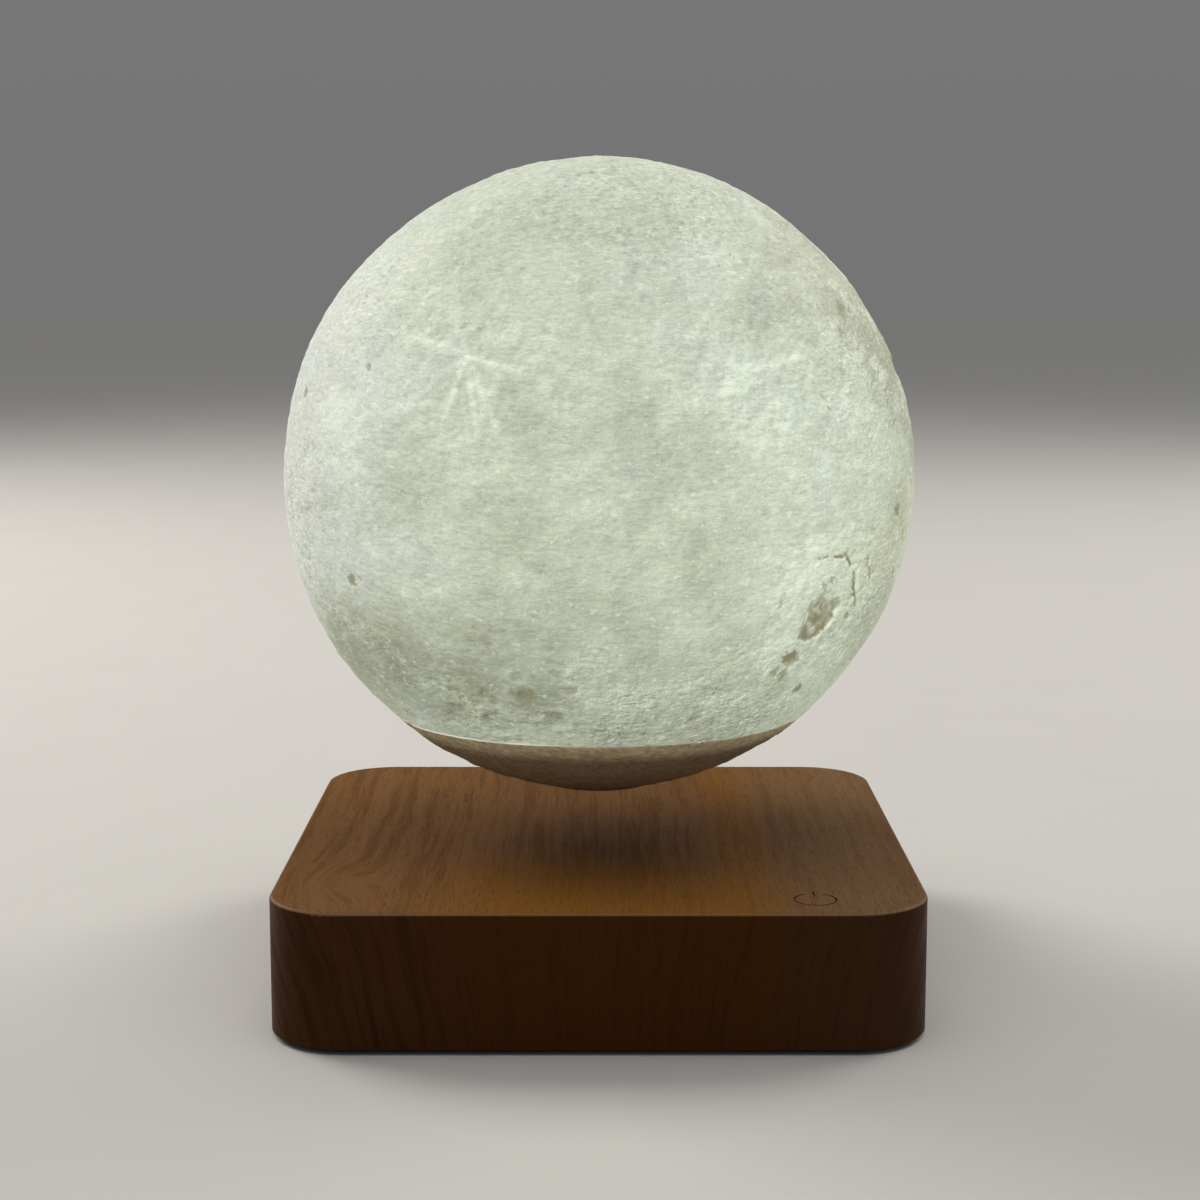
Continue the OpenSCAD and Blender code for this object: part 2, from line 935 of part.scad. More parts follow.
module light_screws() {
    color("silver")
        around(standoff_count, standoff_at)
            translate([0, 0, light_z + thin_board_t])
                screw(small_head_d, small_head_h, small_shank_d, thin_board_t + light_screw_grip);
}

module light_leads() {
    color("#a02020")
        for (x = [-light_lead_pitch / 2, light_lead_pitch / 2])
            translate([x, 0, 0])
                disc(thin_lead_d, receiver_z + thin_board_t + light_plug.z, light_z);
}

// ---------- Nodes ----------

base_case();
bottom_plate();
plate_screws();
rubber_foot(-1, -1);  // foot_front_left
rubber_foot(1, -1);  // foot_front_right
rubber_foot(-1, 1);  // foot_rear_left
rubber_foot(1, 1);  // foot_rear_right
control_board();
capacitors();
choke_coil();
driver_chips();
controller_chip();
power_connector();
touch_connector();
magnet_tray();
ring_magnet();
module_cover();
module_screws();
for (i = [0 : 3]) {
    bobbin(i);
    winding(i);
    core(i);
}
sensor_board();
hall_sensors();
sensor_header();
send_coil();
send_leads();
touch_pad();
touch_board();
touch_chip();
touch_leads();
inlet_body();
inlet_pin();
inlet_nut();
inlet_tags();
power_leads();
float_magnet();
float_foot();
globe_shell();
bottom_cap();
receive_coil();
receive_leads();
receiver_board();
receiver_parts();
receiver_screws();
standoffs();
light_board();
lamps();
light_screws();
light_leads();
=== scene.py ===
"""Moon lamp: a printed moon globe that floats above a wooden magnetic base.

The construction comes packed, and each operator here gives a part of it its finished look.
Everything is in metres, and the patterns of the materials are drawn in millimetres.
"""

import math
from contextlib import contextmanager

import bmesh
import bpy
import numpy as np
from bpy.props import FloatProperty, FloatVectorProperty, IntProperty, PointerProperty
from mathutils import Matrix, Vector, noise


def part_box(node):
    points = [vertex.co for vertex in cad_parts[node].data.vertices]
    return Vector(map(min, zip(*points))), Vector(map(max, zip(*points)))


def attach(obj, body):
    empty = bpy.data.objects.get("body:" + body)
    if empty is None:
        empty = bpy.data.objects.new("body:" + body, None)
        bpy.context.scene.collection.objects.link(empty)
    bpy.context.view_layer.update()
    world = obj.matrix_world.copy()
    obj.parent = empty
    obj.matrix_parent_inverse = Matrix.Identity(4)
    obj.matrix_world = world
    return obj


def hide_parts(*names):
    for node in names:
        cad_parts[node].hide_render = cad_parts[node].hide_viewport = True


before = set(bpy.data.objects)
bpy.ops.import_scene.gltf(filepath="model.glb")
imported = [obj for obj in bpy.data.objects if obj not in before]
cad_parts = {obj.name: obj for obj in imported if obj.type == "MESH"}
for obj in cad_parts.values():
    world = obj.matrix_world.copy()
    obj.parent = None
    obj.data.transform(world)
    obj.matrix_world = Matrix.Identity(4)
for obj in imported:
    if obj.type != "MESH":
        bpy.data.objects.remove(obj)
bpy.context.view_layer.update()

bl_info = {
    "name": "Moon lamp",
    "version": (1, 0, 0),
    "blender": (4, 5, 0),
    "location": "View3D > Sidebar > Moon lamp",
    "description": "Dresses a floating moon lamp: globe, cap, wooden base and what is inside",
    "category": "Object",
}

# ---------- Sizes that come from the construction ----------

MM = 0.001
GLOBE_LOW, GLOBE_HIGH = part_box("globe_shell")
GLOBE_R = (GLOBE_HIGH.x - GLOBE_LOW.x) / 2
GLOBE_Z = GLOBE_HIGH.z - GLOBE_R
GLOBE_CENTRE = Vector((0, 0, GLOBE_Z))
SEAM_Z = GLOBE_LOW.z
CAP_LOW_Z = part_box("bottom_cap")[0].z
TOP_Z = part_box("base_case")[1].z
BASE_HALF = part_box("base_case")[1].x
PAD_LOW, PAD_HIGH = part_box("touch_pad")
SIGN_CENTRE = (PAD_LOW + PAD_HIGH) / 2
SEAM_MM = (SEAM_Z - GLOBE_Z) / MM  # height of the seam over the middle of the globe, in millimetres

# ---------- Finer sizes, which nobody would set ----------

SIGN_REACH = 6.0  # millimetres round the middle of the sign in which its groove is darkened
HOLLOW_DEPTH = 0.5 * MM
CRACK_DEPTH = 0.3 * MM
CRACK_WIDTH = 0.30  # in degrees
RAY_HEIGHT = 0.14 * MM
MIDDLE_LUMPS = 0.20 * MM
CRATER_SEED = 41
SMALLEST_CRATER = 0.7  # radius in degrees, like the two below
LARGEST_CRATER = 4.5
LARGEST_IN_FRONT = 1.0
PLAIN_REACH = 1.45  # a patch fades out at this many times its radius
BRIGHT_REACH = 1.3
FULL_TURN = 6.28
CAMERA_SHIFT = 0.00125  # sets the lamp to the left by this share of the picture

# ---------- The moon's features: azimuth from the front to the right, and elevation, in degrees ----------

# Darker plains: azimuth, elevation, radius, strength
PLAINS = (
    (-13, 14, 9, 0.45), (-12, 9, 5, 0.3), (12, 9, 11, 0.30), (4, 14, 9, 0.3), (20, 4, 7, 0.2),
    (-24, 20, 10, 0.35), (-12, -5, 11, 0.4), (-14, -22, 8, 0.4), (-35, -15, 6, 0.3), (-42, 6, 9, 0.2),
    (-14, 18, 7, 0.5), (-22, 14, 5, 0.35), (7, -8, 8, 0.3), (-35, 28, 8, 0.35), (21, 38, 8, 0.3),
    (33, 46, 7, 0.3), (16, -8, 10, 0.35), (0, -18, 12, 0.4), (-30, 1, 11, 0.35), (-36, -18, 10, 0.4),
    (-23, -23, 10, 0.45), (-42, -29, 13, 0.8), (-26, -32, 11, 0.65), (-11, -36, 10, 0.55),
    (-53, -22, 10, 0.5), (3, -42, 12, 0.35), (32, 31, 10, 0.4), (43, 33, 9, 0.45), (44, 26, 8, 0.4),
    (61, 33, 12, 0.8), (50, 42, 10, 0.45), (74, 27, 19, 0.95), (72, 45, 12, 0.6), (76, 8, 10, 0.6),
    (-36, 10, 7, 0.25), (-10, 55, 13, 0.3), (12, 54, 12, 0.35), (-2, 36, 12, 0.25), (-54, -1, 4, 0.3),
    (66, -5, 7, 0.5), (20, 22, 7, 0.25), (66, -20, 11, 0.3), (26, -46, 12, 0.4), (-30, 42, 12, 0.3),
    (-48, 30, 8, 0.25), (-62, -33, 15, 1.0), (-34, -38, 12, 0.55), (-20, -14, 8, 0.3), (110, 10, 18, 0.55),
    (140, -15, 14, 0.55), (165, 22, 20, 0.6), (-160, 5, 14, 0.45), (-140, 30, 12, 0.5), (-115, -5, 16, 0.5),
    (-100, 35, 11, 0.4), (150, 58, 14, 0.4),
)
# Brighter ground: azimuth, elevation, radius, strength
BRIGHTS = (
    (-49, 10, 11, 0.9), (-44, 18, 6, 0.7), (28, 12, 9, 0.6), (37, 3.5, 5, 0.8), (-32, -15, 4, 0.3),
    (-24, -9, 7, 0.2), (30, 44, 7, 0.6), (22, 40, 6, 0.4), (-7, 1, 5, 0.1), (35, -14, 8, 0.8),
    (-20, 26, 7, 0.1), (37, -25, 8, 1), (14, -33, 8, 0.5), (1, 37, 8, 0.35), (14, 8, 6, 0.25),
    (-7, 31, 6, 0.25), (24, 19, 7, 0.7), (58, 6, 7, 0.4), (14, 15, 3, 0.5), (1, -26, 6, 0.5),
    (-1, -35, 7, 0.6), (17, -24, 6, 0.5), (30, -36, 8, 0.5), (50, -33, 7, 0.4), (-4, 65, 4, 0.4),
    (125, -35, 12, 0.6), (-130, -28, 14, 0.6), (178, -10, 9, 0.5), (95, 40, 10, 0.4),
)
# Pale rays: start, end, half width, strength
RAYS = (
    ((-24, 24.5), (-42, 28), 0.55, 1), ((-24, 24), (-8, 20), 0.55, 1), ((-24, 23), (-27.5, 9), 0.5, 0.8),
    ((-23, 22.5), (-20, 11), 0.5, 0.85), ((-22.5, 22.5), (-15, 9), 0.5, 0.9),
    ((-24.5, 23.5), (-35, 15), 0.5, 0.5), ((-24, 25), (-30, 33), 0.45, 0.4),
    ((-23, 25), (-17, 33), 0.45, 0.4), ((26, 21), (46, 24.8), 0.5, 1), ((27, 22), (38, 28), 0.45, 0.55),
    ((27.5, 19.5), (35.5, 13.5), 0.5, 0.6), ((26, 19.5), (25, 9), 0.45, 0.4),
    ((25, 20), (14, 16.5), 0.5, 0.6), ((26, 21.5), (20, 27), 0.45, 0.5),
    ((24.8, -18), (23.6, -19.3), 0.35, 0.6), ((-43, -8), (-30, -14), 0.6, 0.4),
    ((-32, -15), (-20, -13), 0.5, 0.3), ((49.6, -19), (48.6, -21.4), 0.3, 0.7),
    ((48.6, -21.4), (45.4, -25.4), 0.3, 0.7), ((51.6, -13.2), (53, -16.2), 0.3, 0.8),
    ((53, -16.2), (55.2, -19.6), 0.3, 0.7), ((125, -35), (100, -20), 0.8, 0.7),
    ((125, -35), (128, -8), 0.7, 0.7), ((125, -35), (160, -30), 0.7, 0.7),
    ((-130, -28), (-105, -30), 0.7, 0.7), ((-130, -28), (-150, -8), 0.8, 0.7),
    ((-130, -28), (-122, -2), 0.6, 0.6), ((-130, -28), (-160, -40), 0.6, 0.7),
)
# Cracks: start, end, strength
CRACKS = (
    ((40.3, -10.1), (42.5, -9.9), 0.7), ((44.5, -10), (46.9, -10.3), 0.7),
    ((46.9, -10.3), (47.7, -9.1), 0.6), ((47.6, -10.2), (49.3, -12), 0.7),
    ((49.3, -12), (50.7, -11.4), 0.4), ((50.4, -13.1), (51.8, -16.2), 0.95),
    ((51.8, -16.2), (54.2, -19.9), 0.9), ((50.3, -14.8), (51.4, -14.6), 0.5),
    ((51.2, -17.4), (52.6, -17.3), 0.5), ((52.4, -19.8), (54, -19.4), 0.5),
    ((53.2, -11.2), (54.7, -11), 0.4), ((54.7, -11), (55, -12.6), 0.6), ((55.7, -12.8), (57.3, -15), 0.6),
    ((33.1, -16.2), (33.4, -18), 0.4), ((42.6, 17), (43, 15), 0.7), ((44.4, -24.7), (46.7, -22.2), 0.8),
    ((46.7, -22.2), (47.8, -20), 0.6), ((47.8, -20), (48.8, -18.2), 0.45),
    ((37.7, -28.2), (42.8, -29.3), 0.55), ((38.1, -26.9), (41.6, -29.4), 0.5),
    ((41.8, -27.8), (39.6, -28.9), 0.5), ((-4, 69.8), (1, 70.3), 0.8), ((4, 69), (7, 69.4), 0.4),
    ((-21, -41.4), (-11.6, -41.6), 0.5), ((70.6, -7), (71.8, -10), 0.8), ((-118, 12), (-114, 8), 0.7),
    ((-114, 8), (-115, 4), 0.6), ((148, -20), (152, -24), 0.7), ((152, -24), (151, -28), 0.7),
)
# Pits: azimuth, elevation, radius, depth in mm, darkness
PITS = (
    (43.3, -15.3, 0.9, 0.2, 0.45), (44.7, -14.1, 0.8, 0.2, 0.4), (47.3, -18.3, 1.0, 0.2, 0.5),
    (52.3, -21.5, 0.8, 0.2, 0.55), (57.8, -18.7, 0.7, 0.2, 0.4), (68.5, -15.1, 0.9, 0.3, 0.5),
    (40, -28.3, 1.3, 0.35, 0.85), (37.2, -31.4, 1.0, 0.2, 0.5), (40.1, -32.5, 1.1, 0.25, 0.55),
    (47.7, -36.3, 0.8, 0.2, 0.9), (54.9, -6.1, 0.8, 0.2, 0.4), (64.7, -3.5, 1.1, 0.4, 0.65),
    (-46, 22.1, 0.75, 0.3, 0.55), (-68, 16.6, 1.1, 0.3, 0.6), (-48.4, -14.5, 1.15, 0.3, 0.6),
    (-45.8, -13.8, 0.8, 0.25, 0.35), (-14.9, -34.6, 1.8, 0.45, 0.52), (-17.4, -33.8, 1.0, 0.3, 0.4),
    (-23.8, -34.6, 1.1, 0.3, 0.5), (-30.8, -34.2, 1.4, 0.25, 0.35), (-32, -38.6, 1.3, 0.3, 0.5),
    (-27, -37, 1.0, 0.2, 0.3), (-43.5, -31, 1.0, 0.3, 0.5), (-48, -26, 1.1, 0.3, 0.35),
    (-5.6, -33, 1.2, 0.25, 0.4), (-9, -39.5, 1.1, 0.2, 0.4), (0.4, 1.3, 2.3, 0.16, 0.08),
    (3, -31.8, 2.4, 0.2, 0.15), (16.8, -24, 1.8, 0.2, 0.2), (14, 33, 2.2, 0.15, 0.15),
    (-6, 24, 1.2, 0.1, 0.15), (59, 32.5, 1.8, 0.25, 0.45), (50, 21, 1, 0.2, 0.35), (54, 28, 1.2, 0.2, 0.35),
    (12, -37, 1.1, 0.25, 0.35), (22, -41, 1.3, 0.25, 0.35), (6, -45, 1.2, 0.25, 0.35),
    (103, -22, 5, 0.45, 0.25), (131, 24, 6, 0.5, 0.25), (-95, -20, 5.5, 0.5, 0.3), (-150, 50, 6, 0.5, 0.25),
    (172, -45, 5, 0.45, 0.3), (-172, 30, 4, 0.4, 0.25), (88, 62, 5, 0.4, 0.2),
)
# The broken hollow at the lower right: its soft side looks up and left, its sharp rim down and right
HOLLOW = (42.9, -20.1)
HOLLOW_R = 5.4
HOLLOW_RIM = (50, -27)
# Rough ground: azimuth, elevation, radius, strength
ROUGHS = (
    (5, -42, 19, 1.0), (32, -42, 20, 1.0), (-28, -40, 14, 0.7), (62, 20, 24, 0.55), (14, 62, 24, 0.35),
    (62, -20, 20, 0.6), (-70, -5, 22, 0.55), (-55, 35, 16, 0.3), (-50, -28, 14, 0.5), (180, 0, 80, 0.45),
)
# Ground with fine features, which gets more faces: azimuth, elevation, radius, and cuts of each edge
FINE_GROUND = ((45, -19, 15, 2), (-24, 22, 12, 1), (29, 20, 12, 1), (-20, -35, 14, 1), (-47, -14, 4, 1))
# Painted light and shade: the slopes of the ground are painted paler on the side that looks this way, and
# darker on the other side
PAINTED_SLOPE_LIGHT = (-0.62, -0.35, 0.70)


# ---------- Settings ----------


class MoonLampGlobe(bpy.types.PropertyGroup):
    grid: IntProperty(
        name="Grid", description="Faces along each edge of the cube that the globe is blown up from",
        default=126, min=24, max=150,
    )
    swell: FloatProperty(
        name="Swell", description="How far the mean ground stands above the plain shell",
        default=0.00025, unit="LENGTH",
    )
    lumps: FloatProperty(
        name="Lumps", description="Height of the broad lumps of the ground", default=0.00050, unit="LENGTH",
    )
    ripples: FloatProperty(
        name="Ripples", description="Height of the small unevenness of the ground",
        default=0.00017, unit="LENGTH",
    )
    craters: IntProperty(
        name="Craters", description="Number of small craters all over the globe", default=460, min=0,
    )
    wall: FloatProperty(
        name="Wall", description="Wall of the printed shell", default=0.0018, unit="LENGTH",
    )
    glow: FloatProperty(
        name="Glow", description="How strongly the lit print glows", default=0.91, min=0.0,
    )
    highland: FloatVectorProperty(
        name="Bright ground", description="Colour of the lit bright ground", subtype="COLOR",
        default=(0.585, 0.640, 0.500),
    )
    plain: FloatVectorProperty(
        name="Dark plains", description="Colour of the lit dark plains", subtype="COLOR",
        default=(0.365, 0.380, 0.280),
    )
    pit: FloatVectorProperty(
        name="Pits", description="Colour of cracks and pits", subtype="COLOR", default=(0.20, 0.19, 0.105),
    )


class MoonLampCap(bpy.types.PropertyGroup):
    grid: IntProperty(
        name="Grid", description="Faces along each edge of the cube that the cap's skin is cut from",
        default=110, min=24, max=150,
    )
    print_colour: FloatVectorProperty(
        name="Print", description="Colour of the unlit print", subtype="COLOR", default=(0.30, 0.235, 0.16),
    )
    warm_colour: FloatVectorProperty(
        name="Warm patches", description="Colour of the redder patches of the print", subtype="COLOR",
        default=(0.27, 0.165, 0.095),
    )
    seep_colour: FloatVectorProperty(
        name="Seeping light", description="Colour of the light that seeps through under the seam",
        subtype="COLOR", default=(0.11, 0.094, 0.055),
    )
    seep_reach: FloatProperty(
        name="Reach", description="How far below the seam the light seeps", default=0.004, unit="LENGTH",
    )


class MoonLampWood(bpy.types.PropertyGroup):
    dark: FloatVectorProperty(
        name="Dark grain", description="Colour of the dark lines", subtype="COLOR",
        default=(0.094, 0.038, 0.009),
    )
    middle: FloatVectorProperty(
        name="Ground", description="Colour of most of the wood", subtype="COLOR",
        default=(0.156, 0.069, 0.018),
    )
    light: FloatVectorProperty(
        name="Light grain", description="Colour of the light bands", subtype="COLOR",
        default=(0.206, 0.101, 0.034),
    )
    russet: FloatVectorProperty(
        name="Russet", description="Colour of the redder parts", subtype="COLOR",
        default=(0.165, 0.068, 0.022),
    )
    streak: FloatVectorProperty(
        name="Streak", description="Colour of the orange streak", subtype="COLOR",
        default=(0.192, 0.078, 0.006),
    )
    # Partly rubbed wood, mostly a painted highlight on the rounded edges
    wear_and_highlight: FloatVectorProperty(
        name="Worn edges and highlight", description="Colour of the rubbed edges and their painted highlight", subtype="COLOR",
        default=(0.46, 0.34, 0.22),
    )
    streak_x: FloatProperty(
        name="Streak place", description="Distance of the streak to the right of the middle",
        default=0.034, unit="LENGTH",
    )
    # Partly darker end grain, mostly painted shade on the upright faces
    end_grain_and_shade: FloatProperty(
        name="End grain and painted shade", description="How much darker the upright faces are, by end grain and painted shade",
        default=0.8, min=0.0, max=1.0,
    )


class MoonLampStage(bpy.types.PropertyGroup):
    distance: FloatProperty(
        name="Distance", description="From the middle of the base to the camera", default=0.5426,
        unit="LENGTH",
    )
    height: FloatProperty(
        name="Height", description="Height of the camera over the floor", default=0.1680, unit="LENGTH",
    )
    pitch: FloatProperty(
        name="Pitch", description="How far the camera looks down", default=0.1443, subtype="ANGLE",
    )
    lens: FloatProperty(name="Lens", description="Focal length in millimetres", default=67.73)
    floor_colour: FloatVectorProperty(
        name="Floor", description="Colour of the floor", subtype="COLOR", default=(0.56, 0.55, 0.53),
    )
    low_light: FloatProperty(
        name="Room light, low", description="Brightness of the room at eye level", default=0.178, min=0.0,
    )
    high_light: FloatProperty(
        name="Room light, high", description="Brightness of the room overhead", default=0.34, min=0.0,
    )
    key_power: FloatProperty(
        name="Key light", description="Power of the soft light behind on the left, in watts",
        default=18.0, min=0.0,
    )
    fill_power: FloatProperty(
        name="Fill light", description="Power of the soft light behind on the right, in watts",
        default=10.0, min=0.0,
    )
    top_power: FloatProperty(
        name="Top light", description="Power of the broad soft light overhead, in watts",
        default=10.0, min=0.0,
    )


# ---------- Mesh helpers ----------


def pick_none():
    if bpy.context.mode != "OBJECT":
        bpy.ops.object.mode_set(mode="OBJECT")
    bpy.ops.object.select_all(action="DESELECT")


def pick(piece):
    """Picks one piece alone."""
    pick_none()
    piece.select_set(True)
    bpy.context.view_layer.objects.active = piece


@contextmanager
def editing(piece):
    """Edit mode on one piece, with all of it picked at the start."""
    pick(piece)
    bpy.ops.object.mode_set(mode="EDIT")
    bpy.ops.mesh.select_mode(type="VERT")
    bpy.ops.mesh.select_all(action="SELECT")
    yield
    bpy.ops.object.mode_set(mode="OBJECT")


def pick_parts(piece, kind, wanted):
    """In edit mode, picks just the edges or faces for which wanted(part) is true."""
    bpy.ops.mesh.select_all(action="DESELECT")
    shape = bmesh.from_edit_mesh(piece.data)
    for part in getattr(shape, kind):
        if wanted(part):
            part.select_set(True)
    bmesh.update_edit_mesh(piece.data)


def set_ring(piece, radius, z):
    """In edit mode, puts the picked ring of points at one height and distance from the axis."""
    shape = bmesh.from_edit_mesh(piece.data)
    for point in shape.verts:
        if point.select:
            flat = Vector((point.co.x, point.co.y, 0)).normalized() * radius
            point.co = Vector((flat.x, flat.y, z))
    bmesh.update_edit_mesh(piece.data)


def points_of(piece):
    flat = np.empty(len(piece.data.vertices) * 3)
    piece.data.vertices.foreach_get("co", flat)
    return flat.reshape(-1, 3)


def set_points(piece, points):
    piece.data.vertices.foreach_set("co", np.ascontiguousarray(points).ravel())
    piece.data.update()


def apply_modifier(piece, kind, **values):
    pick(piece)
    made = piece.modifiers.new(kind.lower(), kind)
    for name, value in values.items():
        setattr(made, name, value)
    bpy.ops.object.modifier_apply(modifier=made.name)


def smooth(piece, angle):
    pick(piece)
    bpy.ops.object.shade_smooth_by_angle(angle=math.radians(angle))


def give_material(piece, material):
    piece.data.materials.clear()
    piece.data.materials.append(material)


def dress(material, *nodes):
    """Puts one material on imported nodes."""
    for name in nodes:
        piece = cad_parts[name]
        if not piece.material_slots:
            piece.data.materials.append(material)
        for slot in piece.material_slots:
            slot.material = material


def named_nodes(start):
    return sorted(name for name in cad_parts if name.startswith(start))


# ---------- The moon's ground ----------


def towards(azimuth, elevation):
    a, e = math.radians(azimuth), math.radians(elevation)
    return np.array((math.sin(a) * math.cos(e), -math.cos(a) * math.cos(e), math.sin(e)))


def degrees_from(directions, azimuth, elevation):
    return np.degrees(np.arccos(np.clip(directions @ towards(azimuth, elevation), -1, 1)))


def degrees_from_line(directions, start, end):
    """Distance in degrees from the line that joins two places on the globe."""
    a, b = towards(*start), towards(*end)
    across = np.cross(a, b)
    across /= np.linalg.norm(across)
    along = np.cross(across, a)
    turned = np.arctan2(directions @ along, directions @ a)
    beside = (turned >= 0) & (turned <= math.atan2(b @ along, b @ a))
    off = np.abs(np.degrees(np.arcsin(np.clip(directions @ across, -1, 1))))
    ends = np.minimum(degrees_from(directions, *start), degrees_from(directions, *end))
    return np.where(beside, off, ends)


def falloff(distance, reach):
    """1 at the middle, and smoothly down to 0 at the reach."""
    t = np.clip(distance / reach, 0, 1)
    return 1 - t * t * (3 - 2 * t)


def ground_noise(directions, fineness, octaves, shift):
    offset = Vector((shift, 2 * shift, 3 * shift))
    return np.array([
        noise.fractal(Vector(d) * fineness + offset, 0.9, 2.1, octaves) for d in directions
    ])


def bowl(distance, radius):
    """A crater's section: a bowl with its floor at -0.75, and a rim that stands 0.3 high."""
    t = distance / radius
    inside = np.where(t < 1, np.maximum(t * t - 1, -0.75), 0)
    return inside + 0.3 * np.exp(-(((t - 1) / 0.28) ** 2))


def small_craters(directions, count):
    """Height in mm and brightness of many small craters, smaller and fainter on the quiet front."""
    dice = np.random.default_rng(CRATER_SEED)
    height = np.zeros(len(directions))
    shade = np.zeros(len(directions))
    for _ in range(count):
        middle = dice.normal(size=3)
        middle /= np.linalg.norm(middle)
        radius = min(SMALLEST_CRATER * dice.pareto(1.7) + SMALLEST_CRATER, LARGEST_CRATER)
        front = np.clip(-middle[1], 0, 1) * np.clip(middle[2] + 0.8, 0, 1)
        if front > 0.3:
            radius = min(radius, LARGEST_IN_FRONT)
        strength = (1 - 0.75 * front) * (1.5 if middle[2] < -0.5 else 1)
        near = directions @ middle > math.cos(math.radians(2.2 * radius))
        away = np.degrees(np.arccos(np.clip(directions[near] @ middle, -1, 1)))
        shape = bowl(away, radius)
        height[near] += shape * strength * min(0.17 * radius, 0.36)
        shade[near] += shape * strength * 0.24
    return height, shade


def read_patches(directions, table, bend, reach):
    """The strongest patch of a table at each place. The bend, in degrees, makes the outlines wander."""
    found = np.zeros(len(directions))
    for azimuth, elevation, radius, strength in table:
        away = degrees_from(directions, azimuth, elevation) + bend
        found = np.maximum(found, strength * falloff(away, reach * radius))
    return found


def read_hollow(directions, unevenness):
    """How far a place lies in the broken hollow, from 0 to 1."""
    middle = towards(*HOLLOW)
    across = towards(*HOLLOW_RIM) - middle
    across -= middle * (across @ middle)
    across /= np.linalg.norm(across)
    off = directions - middle
    away = degrees_from(directions, *HOLLOW)
    lean = (off @ across) / np.maximum(np.linalg.norm(off, axis=1), 1e-6)
    softness = np.interp(lean, (-1, 0.1, 0.5), (0.8, 0.5, 0.1))
    return np.clip((1 - away / HOLLOW_R + unevenness) / softness, 0, 1)


def read_ground(directions, settings):
    """Height in metres, and the marks: dark plains, bright ground, pits and roughness."""
    broad = ground_noise(directions, 2.3, 4, 3.7)
    middle = ground_noise(directions, 8.5, 4, 9.1)
    fine = ground_noise(directions, 30.0, 3, 5.3)
    grit = ground_noise(directions, 85.0, 2, 7.7)
    bend = 5.0 * middle + 2.6 * fine

    plains = read_patches(directions, PLAINS, bend, PLAIN_REACH)
    plains *= np.clip(1 + plains * (1.1 * middle + 0.9 * fine), 0.2, 1.6)
    bright = 0.55 * read_patches(directions, BRIGHTS, bend, BRIGHT_REACH)
    rough = read_patches(directions, ROUGHS, 2 * bend, 1)
    rays = np.zeros(len(directions))
    for start, end, width, strength in RAYS:
        away = degrees_from_line(directions, start, end) + 0.3 * fine
        length = math.degrees(math.acos(towards(*start) @ towards(*end)))
        fade = np.clip(1.25 - degrees_from(directions, *start) / length, 0.3, 1)
        rays = np.maximum(rays, strength * fade * np.exp(-((away / width) ** 2)))

    crater_height, crater_shade = small_craters(directions, settings.craters)
    height = crater_height * MM
    pits = np.zeros(len(directions))
    for azimuth, elevation, radius, depth, darkness in PITS:
        ragged = min(radius, 2.2) * (0.5 * fine + 0.65 * grit)
        away = degrees_from(directions, azimuth, elevation) + ragged
        height += bowl(away, radius) * depth * MM
        shade = darkness * np.clip(1 + 0.5 * grit, 0.5, 1.2)
        pits = np.maximum(pits, shade * np.clip(2.3 - 1.7 * away / radius, 0, 1))
    hollow = read_hollow(directions, 0.12 * middle + 0.14 * fine)
    height -= HOLLOW_DEPTH * hollow
    darkness = np.clip(0.48 + 0.45 * fine + 0.3 * grit - 0.2 * middle, 0.1, 0.75)
    pits = np.maximum(pits, hollow * darkness)
    for start, end, strength in CRACKS:
        away = degrees_from_line(directions, start, end) + 0.16 * fine + 0.24 * grit
        groove = min(1.25 * strength, 1) * np.clip(1.0 + 0.9 * grit, 0.25, 1)
        groove *= np.exp(-((away / CRACK_WIDTH) ** 2))
        height -= CRACK_DEPTH * groove
        pits = np.maximum(pits, groove)

    height += settings.swell + settings.lumps * broad + MIDDLE_LUMPS * middle * (1 - 0.6 * plains)
    height += settings.ripples * (fine + 0.35 * grit) * (1 + 1.7 * rough)
    height += RAY_HEIGHT * rays
    bright = np.clip(bright + 0.8 * rays + np.maximum(crater_shade, 0), 0, 1)
    plains = np.clip(plains + np.maximum(-crater_shade, 0), 0, 1)
    return height, np.stack((plains, bright, pits, rough), axis=1)


def blow_up_cube(name, grid):
    """A cube whose faces are split into even squares and blown up to a ball of radius 1."""
    pick_none()
    bpy.ops.mesh.primitive_cube_add(size=2, location=(0, 0, 0))
    piece = bpy.context.active_object
    piece.name = piece.data.name = name
    with editing(piece):
        bpy.ops.mesh.subdivide(number_cuts=grid - 1)
    spread = np.tan(points_of(piece) * math.pi / 4)
    set_points(piece, spread / np.linalg.norm(spread, axis=1, keepdims=True))
    return piece


def raise_ground(piece, directions, height):
    set_points(piece, directions * (GLOBE_R + height[:, None]) + np.array(GLOBE_CENTRE))


def cut_level(piece, z, keep_above):
    """Cuts a piece level at height z and drops one side."""
    with editing(piece):
        bpy.ops.mesh.bisect(
            plane_co=(0, 0, z), plane_no=(0, 0, 1), use_fill=False,
            clear_inner=keep_above, clear_outer=not keep_above, threshold=1e-7,
        )


